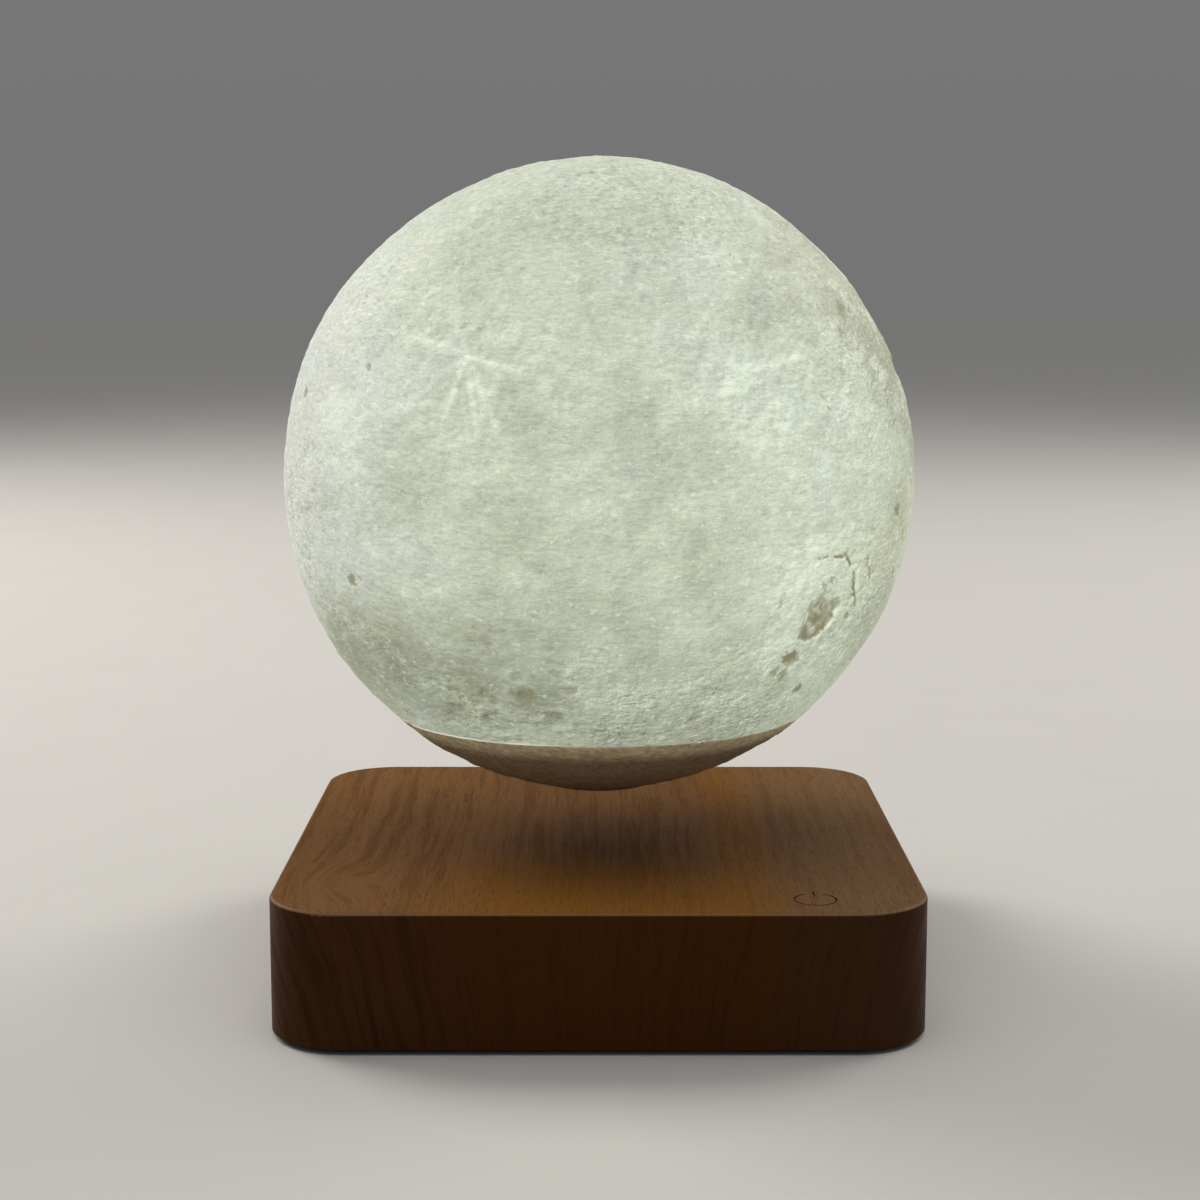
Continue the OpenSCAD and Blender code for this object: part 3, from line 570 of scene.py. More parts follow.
def mark_ground(piece, settings):
    """Keeps the moon's marks, and a painted shade by the slope of its ground, on the piece's points for its
    material.
    """
    away = points_of(piece) - np.array(GLOBE_CENTRE)
    directions = away / np.linalg.norm(away, axis=1, keepdims=True)
    marks = read_ground(directions, settings)[1]
    layer = piece.data.color_attributes.new("moon_marks", "FLOAT_COLOR", "POINT")
    layer.data.foreach_set("color", np.ascontiguousarray(marks, dtype=np.float32).ravel())
    normals = np.empty(len(piece.data.vertices) * 3, dtype=np.float32)
    piece.data.vertex_normals.foreach_get("vector", normals)
    # Painted shade: each point is paler as its face turns towards the painted light, and darker as it turns
    # away
    painted_slope_shade = (normals.reshape(-1, 3) - directions) @ np.array(PAINTED_SLOPE_LIGHT)
    layer = piece.data.attributes.new("moon_slope", "FLOAT", "POINT")
    layer.data.foreach_set("value", np.ascontiguousarray(painted_slope_shade, dtype=np.float32))


def drop_layers(piece):
    """Takes off the UV map of the primitive, which nothing reads."""
    while piece.data.uv_layers:
        piece.data.uv_layers.remove(piece.data.uv_layers[0])


def line_ball(piece, radius, start, end, steps):
    """In edit mode, extrudes the picked rim along a ball, and a last time in place for the next ring."""
    for i in range(steps):
        turn = start + (end - start) * i / steps
        bpy.ops.mesh.extrude_edges_move()
        set_ring(piece, radius * math.cos(turn), GLOBE_Z + radius * math.sin(turn))
    bpy.ops.mesh.extrude_edges_move()


def face_out():
    """In edit mode, turns all faces outwards."""
    bpy.ops.mesh.select_all(action="SELECT")
    bpy.ops.mesh.normals_make_consistent(inside=False)


def close_inside(piece, room_r):
    """Turns the open rim in by the wall and closes it with a plain dome inside."""
    rim_turn = math.asin((SEAM_Z - GLOBE_Z) / room_r)
    with editing(piece):
        pick_parts(piece, "edges", lambda edge: edge.is_boundary)
        line_ball(piece, room_r, rim_turn, math.pi / 2, steps=8)
        set_ring(piece, MM, GLOBE_Z + room_r)
        bpy.ops.mesh.merge(type="CENTER")
        face_out()


# ---------- Node helpers ----------


class Value:
    """What a node gives. A sum or a product of such values is a node too."""

    def __init__(self, socket):
        self.socket = socket

    def __add__(self, other):
        return calc("ADD", self, other)

    __radd__ = __add__

    def __sub__(self, other):
        return calc("SUBTRACT", self, other)

    def __rsub__(self, other):
        return calc("SUBTRACT", other, self)

    def __mul__(self, other):
        return calc("MULTIPLY", self, other)

    def __truediv__(self, other):
        return calc("DIVIDE", self, other)

    def __rtruediv__(self, other):
        return calc("DIVIDE", other, self)

    def __abs__(self):
        return calc("ABSOLUTE", self)


class Outputs:
    """All that a node gives, by name or by number."""

    def __init__(self, node):
        self.node = node

    def __getitem__(self, name):
        return Value(self.node.outputs[name])


def set_inputs(node, inputs):
    """Sets inputs of a node, each to a plain value or to what another node gives."""
    for name, value in inputs.items():
        if isinstance(value, Value):
            node.id_data.links.new(value.socket, node.inputs[name])
        else:
            node.inputs[name].default_value = value


def feed(node, **inputs):
    """Sets inputs of a node, whose names have underscores for spaces."""
    set_inputs(node, {name.replace("_", " "): value for name, value in inputs.items()})


def add(kind, inputs=(), tree=None, **values):
    """Adds a node to the tree of the nodes that feed it, or to a given tree if none does."""
    inputs = dict(inputs)
    if tree is None:
        tree = next(value.socket.id_data for value in inputs.values() if isinstance(value, Value))
    made = tree.nodes.new("ShaderNode" + kind)
    for name, value in values.items():
        setattr(made, name, value)
    set_inputs(made, inputs)
    return Outputs(made)


def calc(operation, *values):
    return add("Math", enumerate(values), operation=operation)[0]


def vector_calc(operation, *values):
    made = add("VectorMath", enumerate(values), operation=operation)
    return made["Value" if operation == "LENGTH" else "Vector"]


def stretch(vector, scale):
    return vector_calc("MULTIPLY", vector, scale)


def combine(x, y, z=0.0):
    return add("CombineXYZ", {0: x, 1: y, 2: z})[0]


def parts(vector):
    return add("SeparateXYZ", {0: vector})


def mix(factor, a, b, mode="MIX"):
    a, b = (colour if isinstance(colour, Value) else (*colour, 1) for colour in (a, b))
    return add("Mix", {0: factor, 6: a, 7: b}, data_type="RGBA", blend_type=mode)[2]


def multiply(a, b):
    return mix(1.0, a, b, "MULTIPLY")


def times(colour, factor):
    """A plain colour made darker or paler."""
    return tuple(c * factor for c in colour)


def grade(value, low, high, to_low=0.0, to_high=1.0):
    """A smooth step of a value from one range to another."""
    ranges = {"From Min": low, "From Max": high, "To Min": to_low, "To Max": to_high}
    return add("MapRange", {"Value": value, **ranges}, interpolation_type="SMOOTHSTEP")["Result"]


def cloud(vector, scale, detail=2.0, roughness=0.5, distortion=0.0):
    shape = {"Scale": scale, "Detail": detail, "Roughness": roughness, "Distortion": distortion}
    return add("TexNoise", {"Vector": vector, **shape})["Fac"]


def in_mm(material, centre=(0, 0, 0)):
    """The piece's own coordinates in millimetres, from a centre."""
    where = add("TexCoord", tree=material.node_tree)["Object"]
    return add("Mapping", {"Vector": where, "Location": times(centre, -1 / MM), "Scale": (1 / MM,) * 3})[0]


def attribute(material, name):
    return add("Attribute", tree=material.node_tree, attribute_name=name)


def facing_up(material):
    """1 on a level top, 0 on an upright side."""
    return parts(add("NewGeometry", tree=material.node_tree)["Normal"])[2]


def new_group(name, inputs, outputs):
    """An empty node group, with inputs that are vectors or have a number. Returns them and its last node."""
    tree = bpy.data.node_groups.new(name, "ShaderNodeTree")
    for socket, value in inputs.items():
        kind = "NodeSocketVector" if value is None else "NodeSocketFloat"
        made = tree.interface.new_socket(name=socket, in_out="INPUT", socket_type=kind)
        if value is not None:
            made.default_value = value
    for socket in outputs:
        tree.interface.new_socket(name=socket, in_out="OUTPUT", socket_type="NodeSocketFloat")
    return Outputs(tree.nodes.new("NodeGroupInput")), tree.nodes.new("NodeGroupOutput")


def place(group, inputs):
    return add("Group", inputs, node_tree=bpy.data.node_groups[group])


def new_material(name, **inputs):
    """A material with one Principled shader, some of whose inputs are set."""
    material = bpy.data.materials.new(name)
    material.use_nodes = True
    shader = material.node_tree.nodes["Principled BSDF"]
    feed(shader, **inputs)
    return material, shader


def bump(shader, height, distance):
    """Feeds a height in 0..1 to the shader as a bump of that many millimetres."""
    feed(shader, Normal=add("Bump", {"Height": height, "Distance": distance * MM, "Strength": 1.0})["Normal"])


# ---------- Shared effects ----------


def build_print_grain():
    """The grain of a fused print: level streaks, grains, mottles, specks, and a painted shade on the slopes
    of the grains.
    """
    given, result = new_group(
        "print_grain",
        {"Vector": None, "Streak length": 4.0, "Grain size": 1.0},
        ("Streaks", "Grain", "Mottles", "Pale specks", "Dark specks", "Slopes"),
    )
    vector = given["Vector"]
    flat = 1.0 / given["Streak length"]
    stretched = stretch(vector, combine(flat, flat, 1.35))
    feed(result, Streaks=cloud(stretched, 1.0, 4.0, 0.72, 0.9))
    fineness = 1.0 / given["Grain size"]
    level = stretch(vector, (0.7, 0.7, 1.15))
    grain = cloud(level, fineness, 3.0, 0.6)
    feed(result, Grain=grain)
    # Painted shade: the grain again, a little to the lower right, less the grain here, paints its slopes as
    # if lit from the upper left
    beside = vector_calc("ADD", level, (0.22, 0.14, -0.36))
    feed(result, Slopes=cloud(beside, fineness, 3.0, 0.6) - grain)
    feed(result, Mottles=cloud(stretch(vector, (0.15, 0.15, 0.22)), 1.0, 4.0, 0.68))
    blots = cloud(stretch(vector, (0.55, 0.55, 0.90)), 1.0, 1.0, 0.5)
    feed(result, Pale_specks=grade(blots, 0.66, 0.74), Dark_specks=grade(blots, 0.32, 0.25))


def build_moulded():
    """The faint orange peel of moulded plastic."""
    given, result = new_group("moulded", {"Vector": None, "Grain size": 0.5}, ("Tone", "Height"))
    fineness = 1.0 / given["Grain size"]
    peel = cloud(given["Vector"], fineness, 2.0, 0.55)
    flow = cloud(stretch(given["Vector"], (0.06, 0.02, 0.05)), 1.0, 3.0, 0.6)
    feed(result, Tone=peel * 0.35 + flow * 0.65, Height=peel)


def build_turned():
    """Turned or ground metal: fine rings round the Z axis, with stains."""
    given, result = new_group("turned", {"Vector": None, "Pitch": 0.15}, ("Tone", "Height"))
    x, y, z = parts(given["Vector"])
    radius = vector_calc("LENGTH", combine(x, y))
    lines = calc("SINE", (radius + z) * (FULL_TURN / given["Pitch"])) * 0.5 + 0.5
    stains = cloud(given["Vector"], 0.35, 4.0, 0.65)
    feed(result, Tone=lines * 0.3 + stains * 0.7, Height=lines)


def build_turns():
    """Turns of wire, side by side along a coordinate in millimetres."""
    given, result = new_group("turns", {"Along": 0.0, "Wire": 0.5, "Vector": None}, ("Tone", "Height"))
    uneven = cloud(given["Vector"], 0.3, 2.0) * 0.25
    step = (given["Along"] + uneven) / given["Wire"]
    across = calc("FRACT", step) * 2.0 - 1.0
    crown = calc("SQRT", calc("MAXIMUM", 1.0 - across * across, 0.02))
    chance = add("TexWhiteNoise", {"W": calc("FLOOR", step)}, noise_dimensions="1D")["Value"]
    # Painted shade: each turn is painted pale on its crown and dark where it meets the next
    feed(result, Tone=chance * 0.25 + crown * 0.75, Height=crown)


def build_tracks():
    """Copper tracks and pads under a board's lacquer."""
    given, result = new_group("tracks", {"Vector": None, "Spacing": 3.0}, ("Copper", "Pads", "Height"))
    flat = stretch(given["Vector"], (1.0, 1.0, 0.02))
    closeness = 1.0 / given["Spacing"]
    scaled = stretch(flat, combine(closeness, closeness, closeness))
    look = {"Vector": scaled, "Scale": 1.0, "Randomness": 0.7}
    cells = add("TexVoronoi", look, distance="CHEBYCHEV")
    edges = add("TexVoronoi", look, feature="DISTANCE_TO_EDGE")
    tracks = grade(edges["Distance"], 0.10, 0.06)
    pads = grade(cells["Distance"], 0.17, 0.14) * grade(parts(cells["Color"])[1], 0.55, 0.6)
    feed(result, Copper=tracks, Pads=pads, Height=calc("MAXIMUM", tracks, pads))


def build_wood_figure():
    """Straight-grained wood: its lines lie across X and run along Y and Z, and bend round a knot."""
    given, result = new_group(
        "wood_figure",
        {"Vector": None, "Knot": None, "Knot size": 14.0, "Bend": 9.0, "Top": 0.0, "Splay": 0.008},
        ("Bands", "Lines", "Pores", "Knot"),
    )
    vector = given["Vector"]
    x, y, z = parts(vector)
    from_knot = stretch(vector_calc("SUBTRACT", vector, given["Knot"]), (1.0, 0.6, 0.3))
    near = vector_calc("LENGTH", from_knot) / given["Knot size"]
    knot = calc("EXPONENT", near * near * -1.0)
    drift = cloud(stretch(vector, (0.022, 0.010, 0.016)), 1.0, 1.0, 0.5)
    wander = cloud(stretch(vector, (0.11, 0.055, 0.055)), 1.0, 2.0, 0.5)
    below = given["Top"] - z
    splayed = x * (below * given["Splay"] + 1.0)
    across = splayed + knot * given["Bend"] + drift * 6.0 + wander * 1.4
    run = combine(across, y * 0.035, z * 0.05)
    feed(result, Bands=grade(cloud(run, 0.085, 2.0, 0.5), 0.25, 0.75))
    coarse = cloud(run, 0.42, 2.0, 0.55)
    fine = cloud(run, 1.7, 2.0, 0.6)
    feed(result, Lines=grade(coarse * 0.6 + fine * 0.4, 0.34, 0.66))
    dashes = combine(across * 2.6, y * 0.26, z * 0.26)
    feed(result, Pores=grade(cloud(dashes, 1.0, 1.0, 0.5), 0.57, 0.69), Knot=knot)


# ---------- Materials ----------


def moon_material(settings):
    """The lit print: cream to green-grey, brighter on thin ground and browner in the pits, with painted shade
    on its slopes and top.
    """
    material, shader = new_material(
        "lit_print", Roughness=0.62, Emission_Strength=settings.glow, Specular_IOR_Level=0.25
    )
    vector = in_mm(material, GLOBE_CENTRE)
    x, _, z = parts(vector)
    marks = attribute(material, "moon_marks")
    plains, bright, pits = add("SeparateColor", {0: marks["Color"]})
    rough = marks["Alpha"]
    # Painted shade of the ground's slopes, kept on the points
    painted_slope_shade = attribute(material, "moon_slope")["Fac"]
    grain = place("print_grain", {"Vector": vector, "Streak length": 2.9, "Grain size": 1.1})
    patches = cloud(stretch(vector, (0.05, 0.05, 0.06)), 1.0, 5.0, 0.62)

    dark = plains * 0.85 + grade(patches, 0.36, 0.68, 0.0, 0.2) - bright * 0.6
    ground = mix(grade(dark, -0.2, 0.9), settings.highland, settings.plain)
    side, low = x / (GLOBE_R / MM), z / (GLOBE_R / MM)
    warm = grade(side, -0.3, -0.95) * grade(plains, 0.6, 0.0, 0.0, 0.75)
    ground = mix(warm, ground, (0.475, 0.49, 0.455))
    ground = mix(grade(side, 0.66, 0.97), ground, (0.80, 0.79, 0.75), "MULTIPLY")
    haze = cloud(stretch(vector, (0.022, 0.022, 0.026)), 1.0, 2.0, 0.5)
    ground = mix(grade(haze, 0.42, 0.62), ground, (0.985, 1.0, 1.035), "MULTIPLY")
    ground = mix(grade(low, -0.16, -0.56), ground, (0.70, 0.71, 0.68), "MULTIPLY")
    ground = mix(bright * 0.62, ground, (0.70, 0.755, 0.63))
    # Painted shade: the top of the globe is painted darker, to hold back the light that falls on it from
    # overhead
    ground = mix(grade(low, 0.35, 0.95, 0.0, 0.42), ground, (0.36, 0.38, 0.315))

    def wave(value, size):
        return (value - 0.5) * size

    shade = 1.0 + wave(grain["Streaks"], 0.8 - rough * 0.3)
    shade += wave(grain["Grain"], rough * 0.35 + 0.30)
    shade += wave(grain["Mottles"], rough * 0.45 + 0.28)
    shade += wave(cloud(vector, 2.4, 1.0, 0.5), rough * 0.4 + 0.3)
    # Painted shade: the slopes of the grains and of the ground make the glow paler on one side and darker on
    # the other
    shade += grain["Slopes"] * (rough * 1.6 + 0.6) + painted_slope_shade * 0.95
    colour = multiply(ground, combine(shade, shade, shade))
    pale_specks = grain["Pale specks"] * grade(side, -0.4, 0.6, 0.32, 0.5)
    colour = mix(pale_specks, colour, (0.78, 0.82, 0.72))
    dark_specks = grain["Dark specks"] * grade(low, 0.3, 0.8, 0.12, 0.4)
    ragged = pits + wave(grain["Grain"], 0.5)
    holes = grade(ragged, 0.10, 0.38) * calc("MINIMUM", pits * 1.25, 0.95)
    colour = mix(calc("MAXIMUM", holes, dark_specks), colour, settings.pit)

    above_seam = z - SEAM_MM
    turned = cloud(stretch(vector, (0.08, 0.08, 0.0)), 1.0, 2.0, 0.5)
    gap = grade(x, -6.0, -16.0) * grade(turned, 0.35, 0.55, 0.4, 1.0)
    leak = grade(above_seam, 0.6, 0.3) * gap
    colour = mix(leak, colour, (0.66, 0.68, 0.57))
    feed(shader, Emission_Color=colour, Base_Color=multiply(colour, (0.42, 0.42, 0.42)))
    bump(shader, grain["Streaks"] + grain["Grain"] * 0.8 * rough, 0.3)
    return material


def cap_material(settings):
    """The unlit print of the cap, with light that seeps through under the seam."""
    material, shader = new_material(
        "cap_print", Roughness=0.7, Emission_Strength=1.0, Specular_IOR_Level=0.25
    )
    vector = in_mm(material, GLOBE_CENTRE)
    plains = add("SeparateColor", {0: attribute(material, "moon_marks")["Color"]})[0]
    # Painted shade of the ground's slopes, kept on the points
    painted_slope_shade = attribute(material, "moon_slope")["Fac"]
    grain = place("print_grain", {"Vector": vector, "Streak length": 2.2, "Grain size": 1.0})
    # Painted shade: the slopes of the grains and of the ground make the print paler on one side and darker on
    # the other
    shade = grade(grain["Grain"], 0.3, 0.7, 0.72, 1.24) + grain["Slopes"] * 0.8 + painted_slope_shade * 0.5
    shade *= 1.05 - plains * 0.2
    tone = combine(shade, shade, shade)
    base = mix(grade(grain["Mottles"], 0.35, 0.65, 0.0, 0.7), settings.print_colour, settings.warm_colour)
    feed(shader, Base_Color=multiply(base, tone))

    below_seam = SEAM_MM - parts(vector)[2]
    uneven = grain["Grain"] * 1.4 + grain["Mottles"] * 1.6
    seep = grade(below_seam - uneven, settings.seep_reach / MM, -0.5)
    feed(shader, Emission_Color=mix(seep, (0.003, 0.002, 0.001), multiply(settings.seep_colour, tone)))
    bump(shader, grain["Grain"], 0.3)
    return material


def foot_material():
    material, shader = new_material("foot_print", Roughness=0.6, Specular_IOR_Level=0.35)
    vector = in_mm(material)
    grain = place("print_grain", {"Vector": vector, "Streak length": 2.0, "Grain size": 0.6})
    turned = place("turned", {"Vector": vector, "Pitch": 0.45})
    colour = mix(grade(grain["Grain"], 0.3, 0.7), (0.10, 0.062, 0.034), (0.21, 0.14, 0.082))
    feed(shader, Base_Color=mix(turned["Tone"] * 0.35, colour, (0.26, 0.18, 0.11)))
    bump(shader, turned["Height"], 0.05)
    return material


def wood_material(settings):
    """Oiled wood with its grain from front to back, a knot at the front left, an orange streak, and painted
    light and shade.
    """
    material, shader = new_material("oiled_wood", Specular_IOR_Level=0.04)
    vector = in_mm(material)
    x, y, z = parts(vector)
    half, top = BASE_HALF / MM, TOP_Z / MM
    figure = place("wood_figure", {
        "Vector": vector, "Knot": (-0.80 * half, -0.66 * half, top), "Knot size": 9.0, "Bend": 8.0,
        "Top": top, "Splay": 0.005,
    })
    lines, pores = figure["Lines"], figure["Pores"]
    colour = mix(grade(figure["Bands"], 0.0, 1.0, 0.25, 0.5), settings.middle, settings.light)
    upright = facing_up(material)
    # Upright faces: partly darker end grain, mostly painted shade
    side = grade(upright, 0.75, 0.2, 0.0, settings.end_grain_and_shade)
    dark_lines = grade(lines, 0.6, 0.0) * (side * 0.25 + 0.55)
    colour = mix(dark_lines, colour, settings.dark)
    hue = cloud(stretch(vector, (0.02, 0.012, 0.02)), 1.0, 2.0, 0.5)
    colour = mix(grade(hue, 0.35, 0.65, 0.0, 0.3), colour, settings.russet)
    colour = mix(figure["Knot"] * 0.35, colour, settings.light)
    wobble = cloud(stretch(vector, (0.05, 0.04, 0.04)), 1.0, 1.0) * 10.0
    from_streak = x - settings.streak_x / MM
    away = abs(from_streak) + wobble
    colour = mix(grade(away, 16.0, 5.0, 0.0, 0.75), colour, settings.streak)
    # Painted light: a pool of the moon's glow on the front middle of the case, in the colour of the streak
    painted_moon_glow = grade(y, -15.0, -45.0) * grade(abs(x), 50.0, 15.0)
    colour = mix(painted_moon_glow * 0.65, colour, settings.streak)
    # Painted sheen: the right of the case is painted paler and greyer
    colour = mix(grade(x, 25.0, 60.0, 0.0, 0.4), colour, (0.165, 0.104, 0.054))
    below_top = top - z
    vein = grade(abs(from_streak + below_top * 0.26 + wobble * 0.15), 0.7, 0.0)
    colour = mix(vein * 0.3, colour, settings.dark)
    open_pores = pores * (0.38 - side * 0.25)
    colour = mix(open_pores, colour, (0.040, 0.015, 0.005))

    # Painted shade, with some real end grain: the upright faces are painted far darker than the top
    colour = mix(side, colour, multiply(colour, (0.155, 0.060, 0.006)))
    # Painted highlight, with some rubbed wood: the rounded edges are painted paler
    edge = grade(upright, 0.97, 0.75) * grade(upright, 0.25, 0.6)
    colour = mix(edge * 0.18, colour, settings.wear_and_highlight)

    from_sign = vector_calc("LENGTH", combine(x - SIGN_CENTRE.x / MM, y - SIGN_CENTRE.y / MM))
    groove = grade(below_top, 0.03, 0.12) * calc("LESS_THAN", below_top, 1.0)
    groove *= calc("LESS_THAN", from_sign, SIGN_REACH)
    colour = mix(groove * 0.6, colour, (0.060, 0.027, 0.008))
    feed(shader, Base_Color=colour, Roughness=grade(lines, 0.0, 1.0, 0.54, 0.42))
    bump(shader, lines * 0.25 - pores * 0.8, 0.05)
    return material


def plastic_material(name, colour, roughness, grain=0.5, wear=1.35):
    material, shader = new_material(name, Specular_IOR_Level=0.45)
    moulded = place("moulded", {"Vector": in_mm(material), "Grain size": grain})
    pale = tuple(min(c * wear + 0.004, 1) for c in colour)
    feed(shader, Base_Color=mix(grade(moulded["Tone"], 0.35, 0.65), colour, pale))
    feed(shader, Roughness=grade(moulded["Tone"], 0.3, 0.7, roughness - 0.07, roughness + 0.07))
    bump(shader, moulded["Height"], 0.03)
    return material


def metal_material(name, colour, roughness, pitch=0.2):
    material, shader = new_material(name, Metallic=1.0)
    turned = place("turned", {"Vector": in_mm(material), "Pitch": pitch})
    feed(shader, Base_Color=mix(grade(turned["Tone"], 0.3, 0.7), times(colour, 0.72), colour))
    feed(shader, Roughness=grade(turned["Tone"], 0.2, 0.8, roughness + 0.1, roughness - 0.05))
    bump(shader, turned["Height"], 0.012)
    return material


def board_material(name, lacquer, track, copper=(0.75, 0.55, 0.30)):
    material, shader = new_material(name, Roughness=0.32, Coat_Weight=0.25)
    vector = in_mm(material)
    tracks = place("tracks", {"Vector": vector, "Spacing": 3.6})
    weave = cloud(vector, 1.6, 3.0, 0.6)
    colour = mix(grade(weave, 0.35, 0.65, 0.0, 0.35), lacquer, times(lacquer, 0.6))
    colour = mix(tracks["Copper"], colour, track)
    feed(shader, Base_Color=mix(tracks["Pads"], colour, copper), Metallic=tracks["Pads"] * 0.9)
    bump(shader, tracks["Height"], 0.04)
    return material


def wound_material(name, along, wire):
    """Enamelled wire. Along says how the turns follow each other: up a bobbin, or out in a flat coil."""
    material, shader = new_material(name, Metallic=0.85, Roughness=0.3, Coat_Weight=0.4)
    vector = in_mm(material)
    x, y, z = parts(vector)
    if along == "out":
        z = vector_calc("LENGTH", combine(x, y))
    turns = place("turns", {"Along": z, "Wire": wire, "Vector": vector})
    # Painted shade between the turns, by their tone
    feed(shader, Base_Color=mix(turns["Tone"], (0.16, 0.045, 0.015), (0.80, 0.34, 0.14)))
    bump(shader, turns["Height"], 0.12)
    return material


def magnet_material(name, colour):
    """Pressed and sintered magnet: dull, with fine pores and grinding marks."""
    material, shader = new_material(name, Metallic=0.6, Roughness=0.48)
    vector = in_mm(material)
    turned = place("turned", {"Vector": vector, "Pitch": 0.7})
    pits = grade(cloud(vector, 2.2, 3.0, 0.7), 0.62, 0.7)
    tone = mix(turned["Tone"], times(colour, 0.7), times(colour, 1.25))
    feed(shader, Base_Color=mix(pits, tone, times(colour, 0.35)))
    bump(shader, turned["Height"] - pits, 0.03)
    return material


def can_material():
    """Capacitor cans: a dark sleeve round them and a scored aluminium top."""
    material, shader = new_material("capacitor_sleeve", Roughness=0.35)
    vector = in_mm(material)
    top = grade(facing_up(material), 0.5, 0.8)
    turned = place("turned", {"Vector": vector, "Pitch": 0.3})
    metal = mix(turned["Tone"], (0.42, 0.42, 0.43), (0.72, 0.72, 0.72))
    sleeve = mix(cloud(vector, 0.5, 3.0), (0.020, 0.024, 0.040), (0.040, 0.046, 0.070))
    feed(shader, Base_Color=mix(top, sleeve, metal), Metallic=top)
    bump(shader, turned["Height"], 0.02)
    return material


def lamp_material():
    """White lamps: a yellow phosphor that glows in a pale housing."""
    material, shader = new_material("lamp_phosphor", Roughness=0.3, Emission_Strength=2.0)
    vector = in_mm(material)
    specks = cloud(vector, 2.5, 2.0)
    colour = mix(grade(specks, 0.35, 0.65), (0.85, 0.62, 0.16), (0.95, 0.83, 0.42))
    face = grade(facing_up(material), 0.5, 0.9)
    feed(shader, Base_Color=mix(face, (0.82, 0.81, 0.76), colour))
    feed(shader, Emission_Color=mix(face, (0.02, 0.02, 0.015), (1.0, 0.93, 0.72)))
    bump(shader, specks, 0.03)
    return material


def floor_material(colour):
    material, shader = new_material("pale_floor", Roughness=0.7, Specular_IOR_Level=0.25)
    speckle = cloud(in_mm(material), 0.02, 3.0, 0.5)
    feed(shader, Base_Color=mix(grade(speckle, 0.3, 0.7), colour, times(colour, 0.985)))
    return material


# ---------- Operators ----------


class MOONLAMP_OT_effects(bpy.types.Operator):
    """Builds the node groups that the materials share"""

    bl_idname = "moonlamp.effects"
    bl_label = "Shared effects"

    def execute(self, context):
        build_print_grain()
        build_moulded()
        build_turned()
        build_turns()
        build_tracks()
        build_wood_figure()
        return {"FINISHED"}


class MOONLAMP_OT_globe(bpy.types.Operator):
    """Models the lit moon globe with its ground and its inner wall"""

    bl_idname = "moonlamp.globe"
    bl_label = "Globe"

    def execute(self, context):
        settings = context.scene.moonlamp_globe
        globe = blow_up_cube("globe", settings.grid)
        with editing(globe):
            for azimuth, elevation, radius, cuts in FINE_GROUND:
                middle, reach = Vector(towards(azimuth, elevation)), math.radians(radius)
                pick_parts(globe, "faces", lambda face: middle.angle(face.calc_center_median()) < reach)
                bpy.ops.mesh.subdivide(number_cuts=cuts)
        directions = points_of(globe)
        directions /= np.linalg.norm(directions, axis=1, keepdims=True)
        height = read_ground(directions, settings)[0]
        raise_ground(globe, directions, height)
        cut_level(globe, SEAM_Z, keep_above=True)
        close_inside(globe, GLOBE_R - settings.wall)
        drop_layers(globe)
        mark_ground(globe, settings)
        smooth(globe, 50)
        give_material(globe, moon_material(settings))
        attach(globe, "moon")
        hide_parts("globe_shell")
        return {"FINISHED"}


class MOONLAMP_OT_cap(bpy.types.Operator):
    """Models the unlit cap with the moon's ground outside and its well, ribs and posts inside"""

    bl_idname = "moonlamp.cap"
    bl_label = "Cap"

    def execute(self, context):
        settings = context.scene.moonlamp_cap
        ground = context.scene.moonlamp_globe
        skin_t = 1.2 * MM
        hair = 0.02 * MM  # keeps faces apart that would lie in one plane
        skin = blow_up_cube("cap_skin", settings.grid)
        directions = points_of(skin)
        height = np.maximum(read_ground(directions, ground)[0], 2 * hair)
        raise_ground(skin, directions, height)
        cut_level(skin, SEAM_Z - hair, keep_above=False)
        cut_level(skin, CAP_LOW_Z + hair, keep_above=True)
        inner_r = GLOBE_R - skin_t
        low = math.asin((CAP_LOW_Z + hair - GLOBE_Z) / inner_r)
        high = math.asin((SEAM_Z - hair - GLOBE_Z) / inner_r)
        with editing(skin):
            half_way = (SEAM_Z + CAP_LOW_Z) / 2
            pick_parts(skin, "edges", lambda edge: edge.is_boundary and edge.verts[0].co.z > half_way)
            line_ball(skin, inner_r, high, low, steps=5)
            set_ring(skin, inner_r * math.cos(low), CAP_LOW_Z + hair)
            pick_parts(skin, "edges", lambda edge: edge.is_boundary)
            bpy.ops.mesh.bridge_edge_loops()
            face_out()
        drop_layers(skin)

        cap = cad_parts["bottom_cap"].copy()
        cap.data = cap.data.copy()
        cap.parent = None
        context.scene.collection.objects.link(cap)
        cap.name = cap.data.name = "cap"
        for key in list(cap.keys()):
            if key.startswith("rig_"):
                del cap[key]
        with editing(cap):
            bpy.ops.mesh.remove_doubles(threshold=1e-6)
        apply_modifier(cap, "BOOLEAN", operation="UNION", object=skin, solver="EXACT")
        bpy.data.objects.remove(skin)
        mark_ground(cap, ground)
        smooth(cap, 40)
        give_material(cap, cap_material(settings))
        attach(cap, "moon")
        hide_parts("bottom_cap")
        return {"FINISHED"}


class MOONLAMP_OT_foot(bpy.types.Operator):
    """Finishes the foot disc and the floating magnet"""

    bl_idname = "moonlamp.foot"
    bl_label = "Foot and floating magnet"

    def execute(self, context):
        dress(foot_material(), "float_foot")
        nickel = metal_material("nickel_plate", (0.72, 0.70, 0.66), 0.22, 0.35)
        dress(nickel, "float_magnet", "inlet_nut", "inlet_tags")
        return {"FINISHED"}


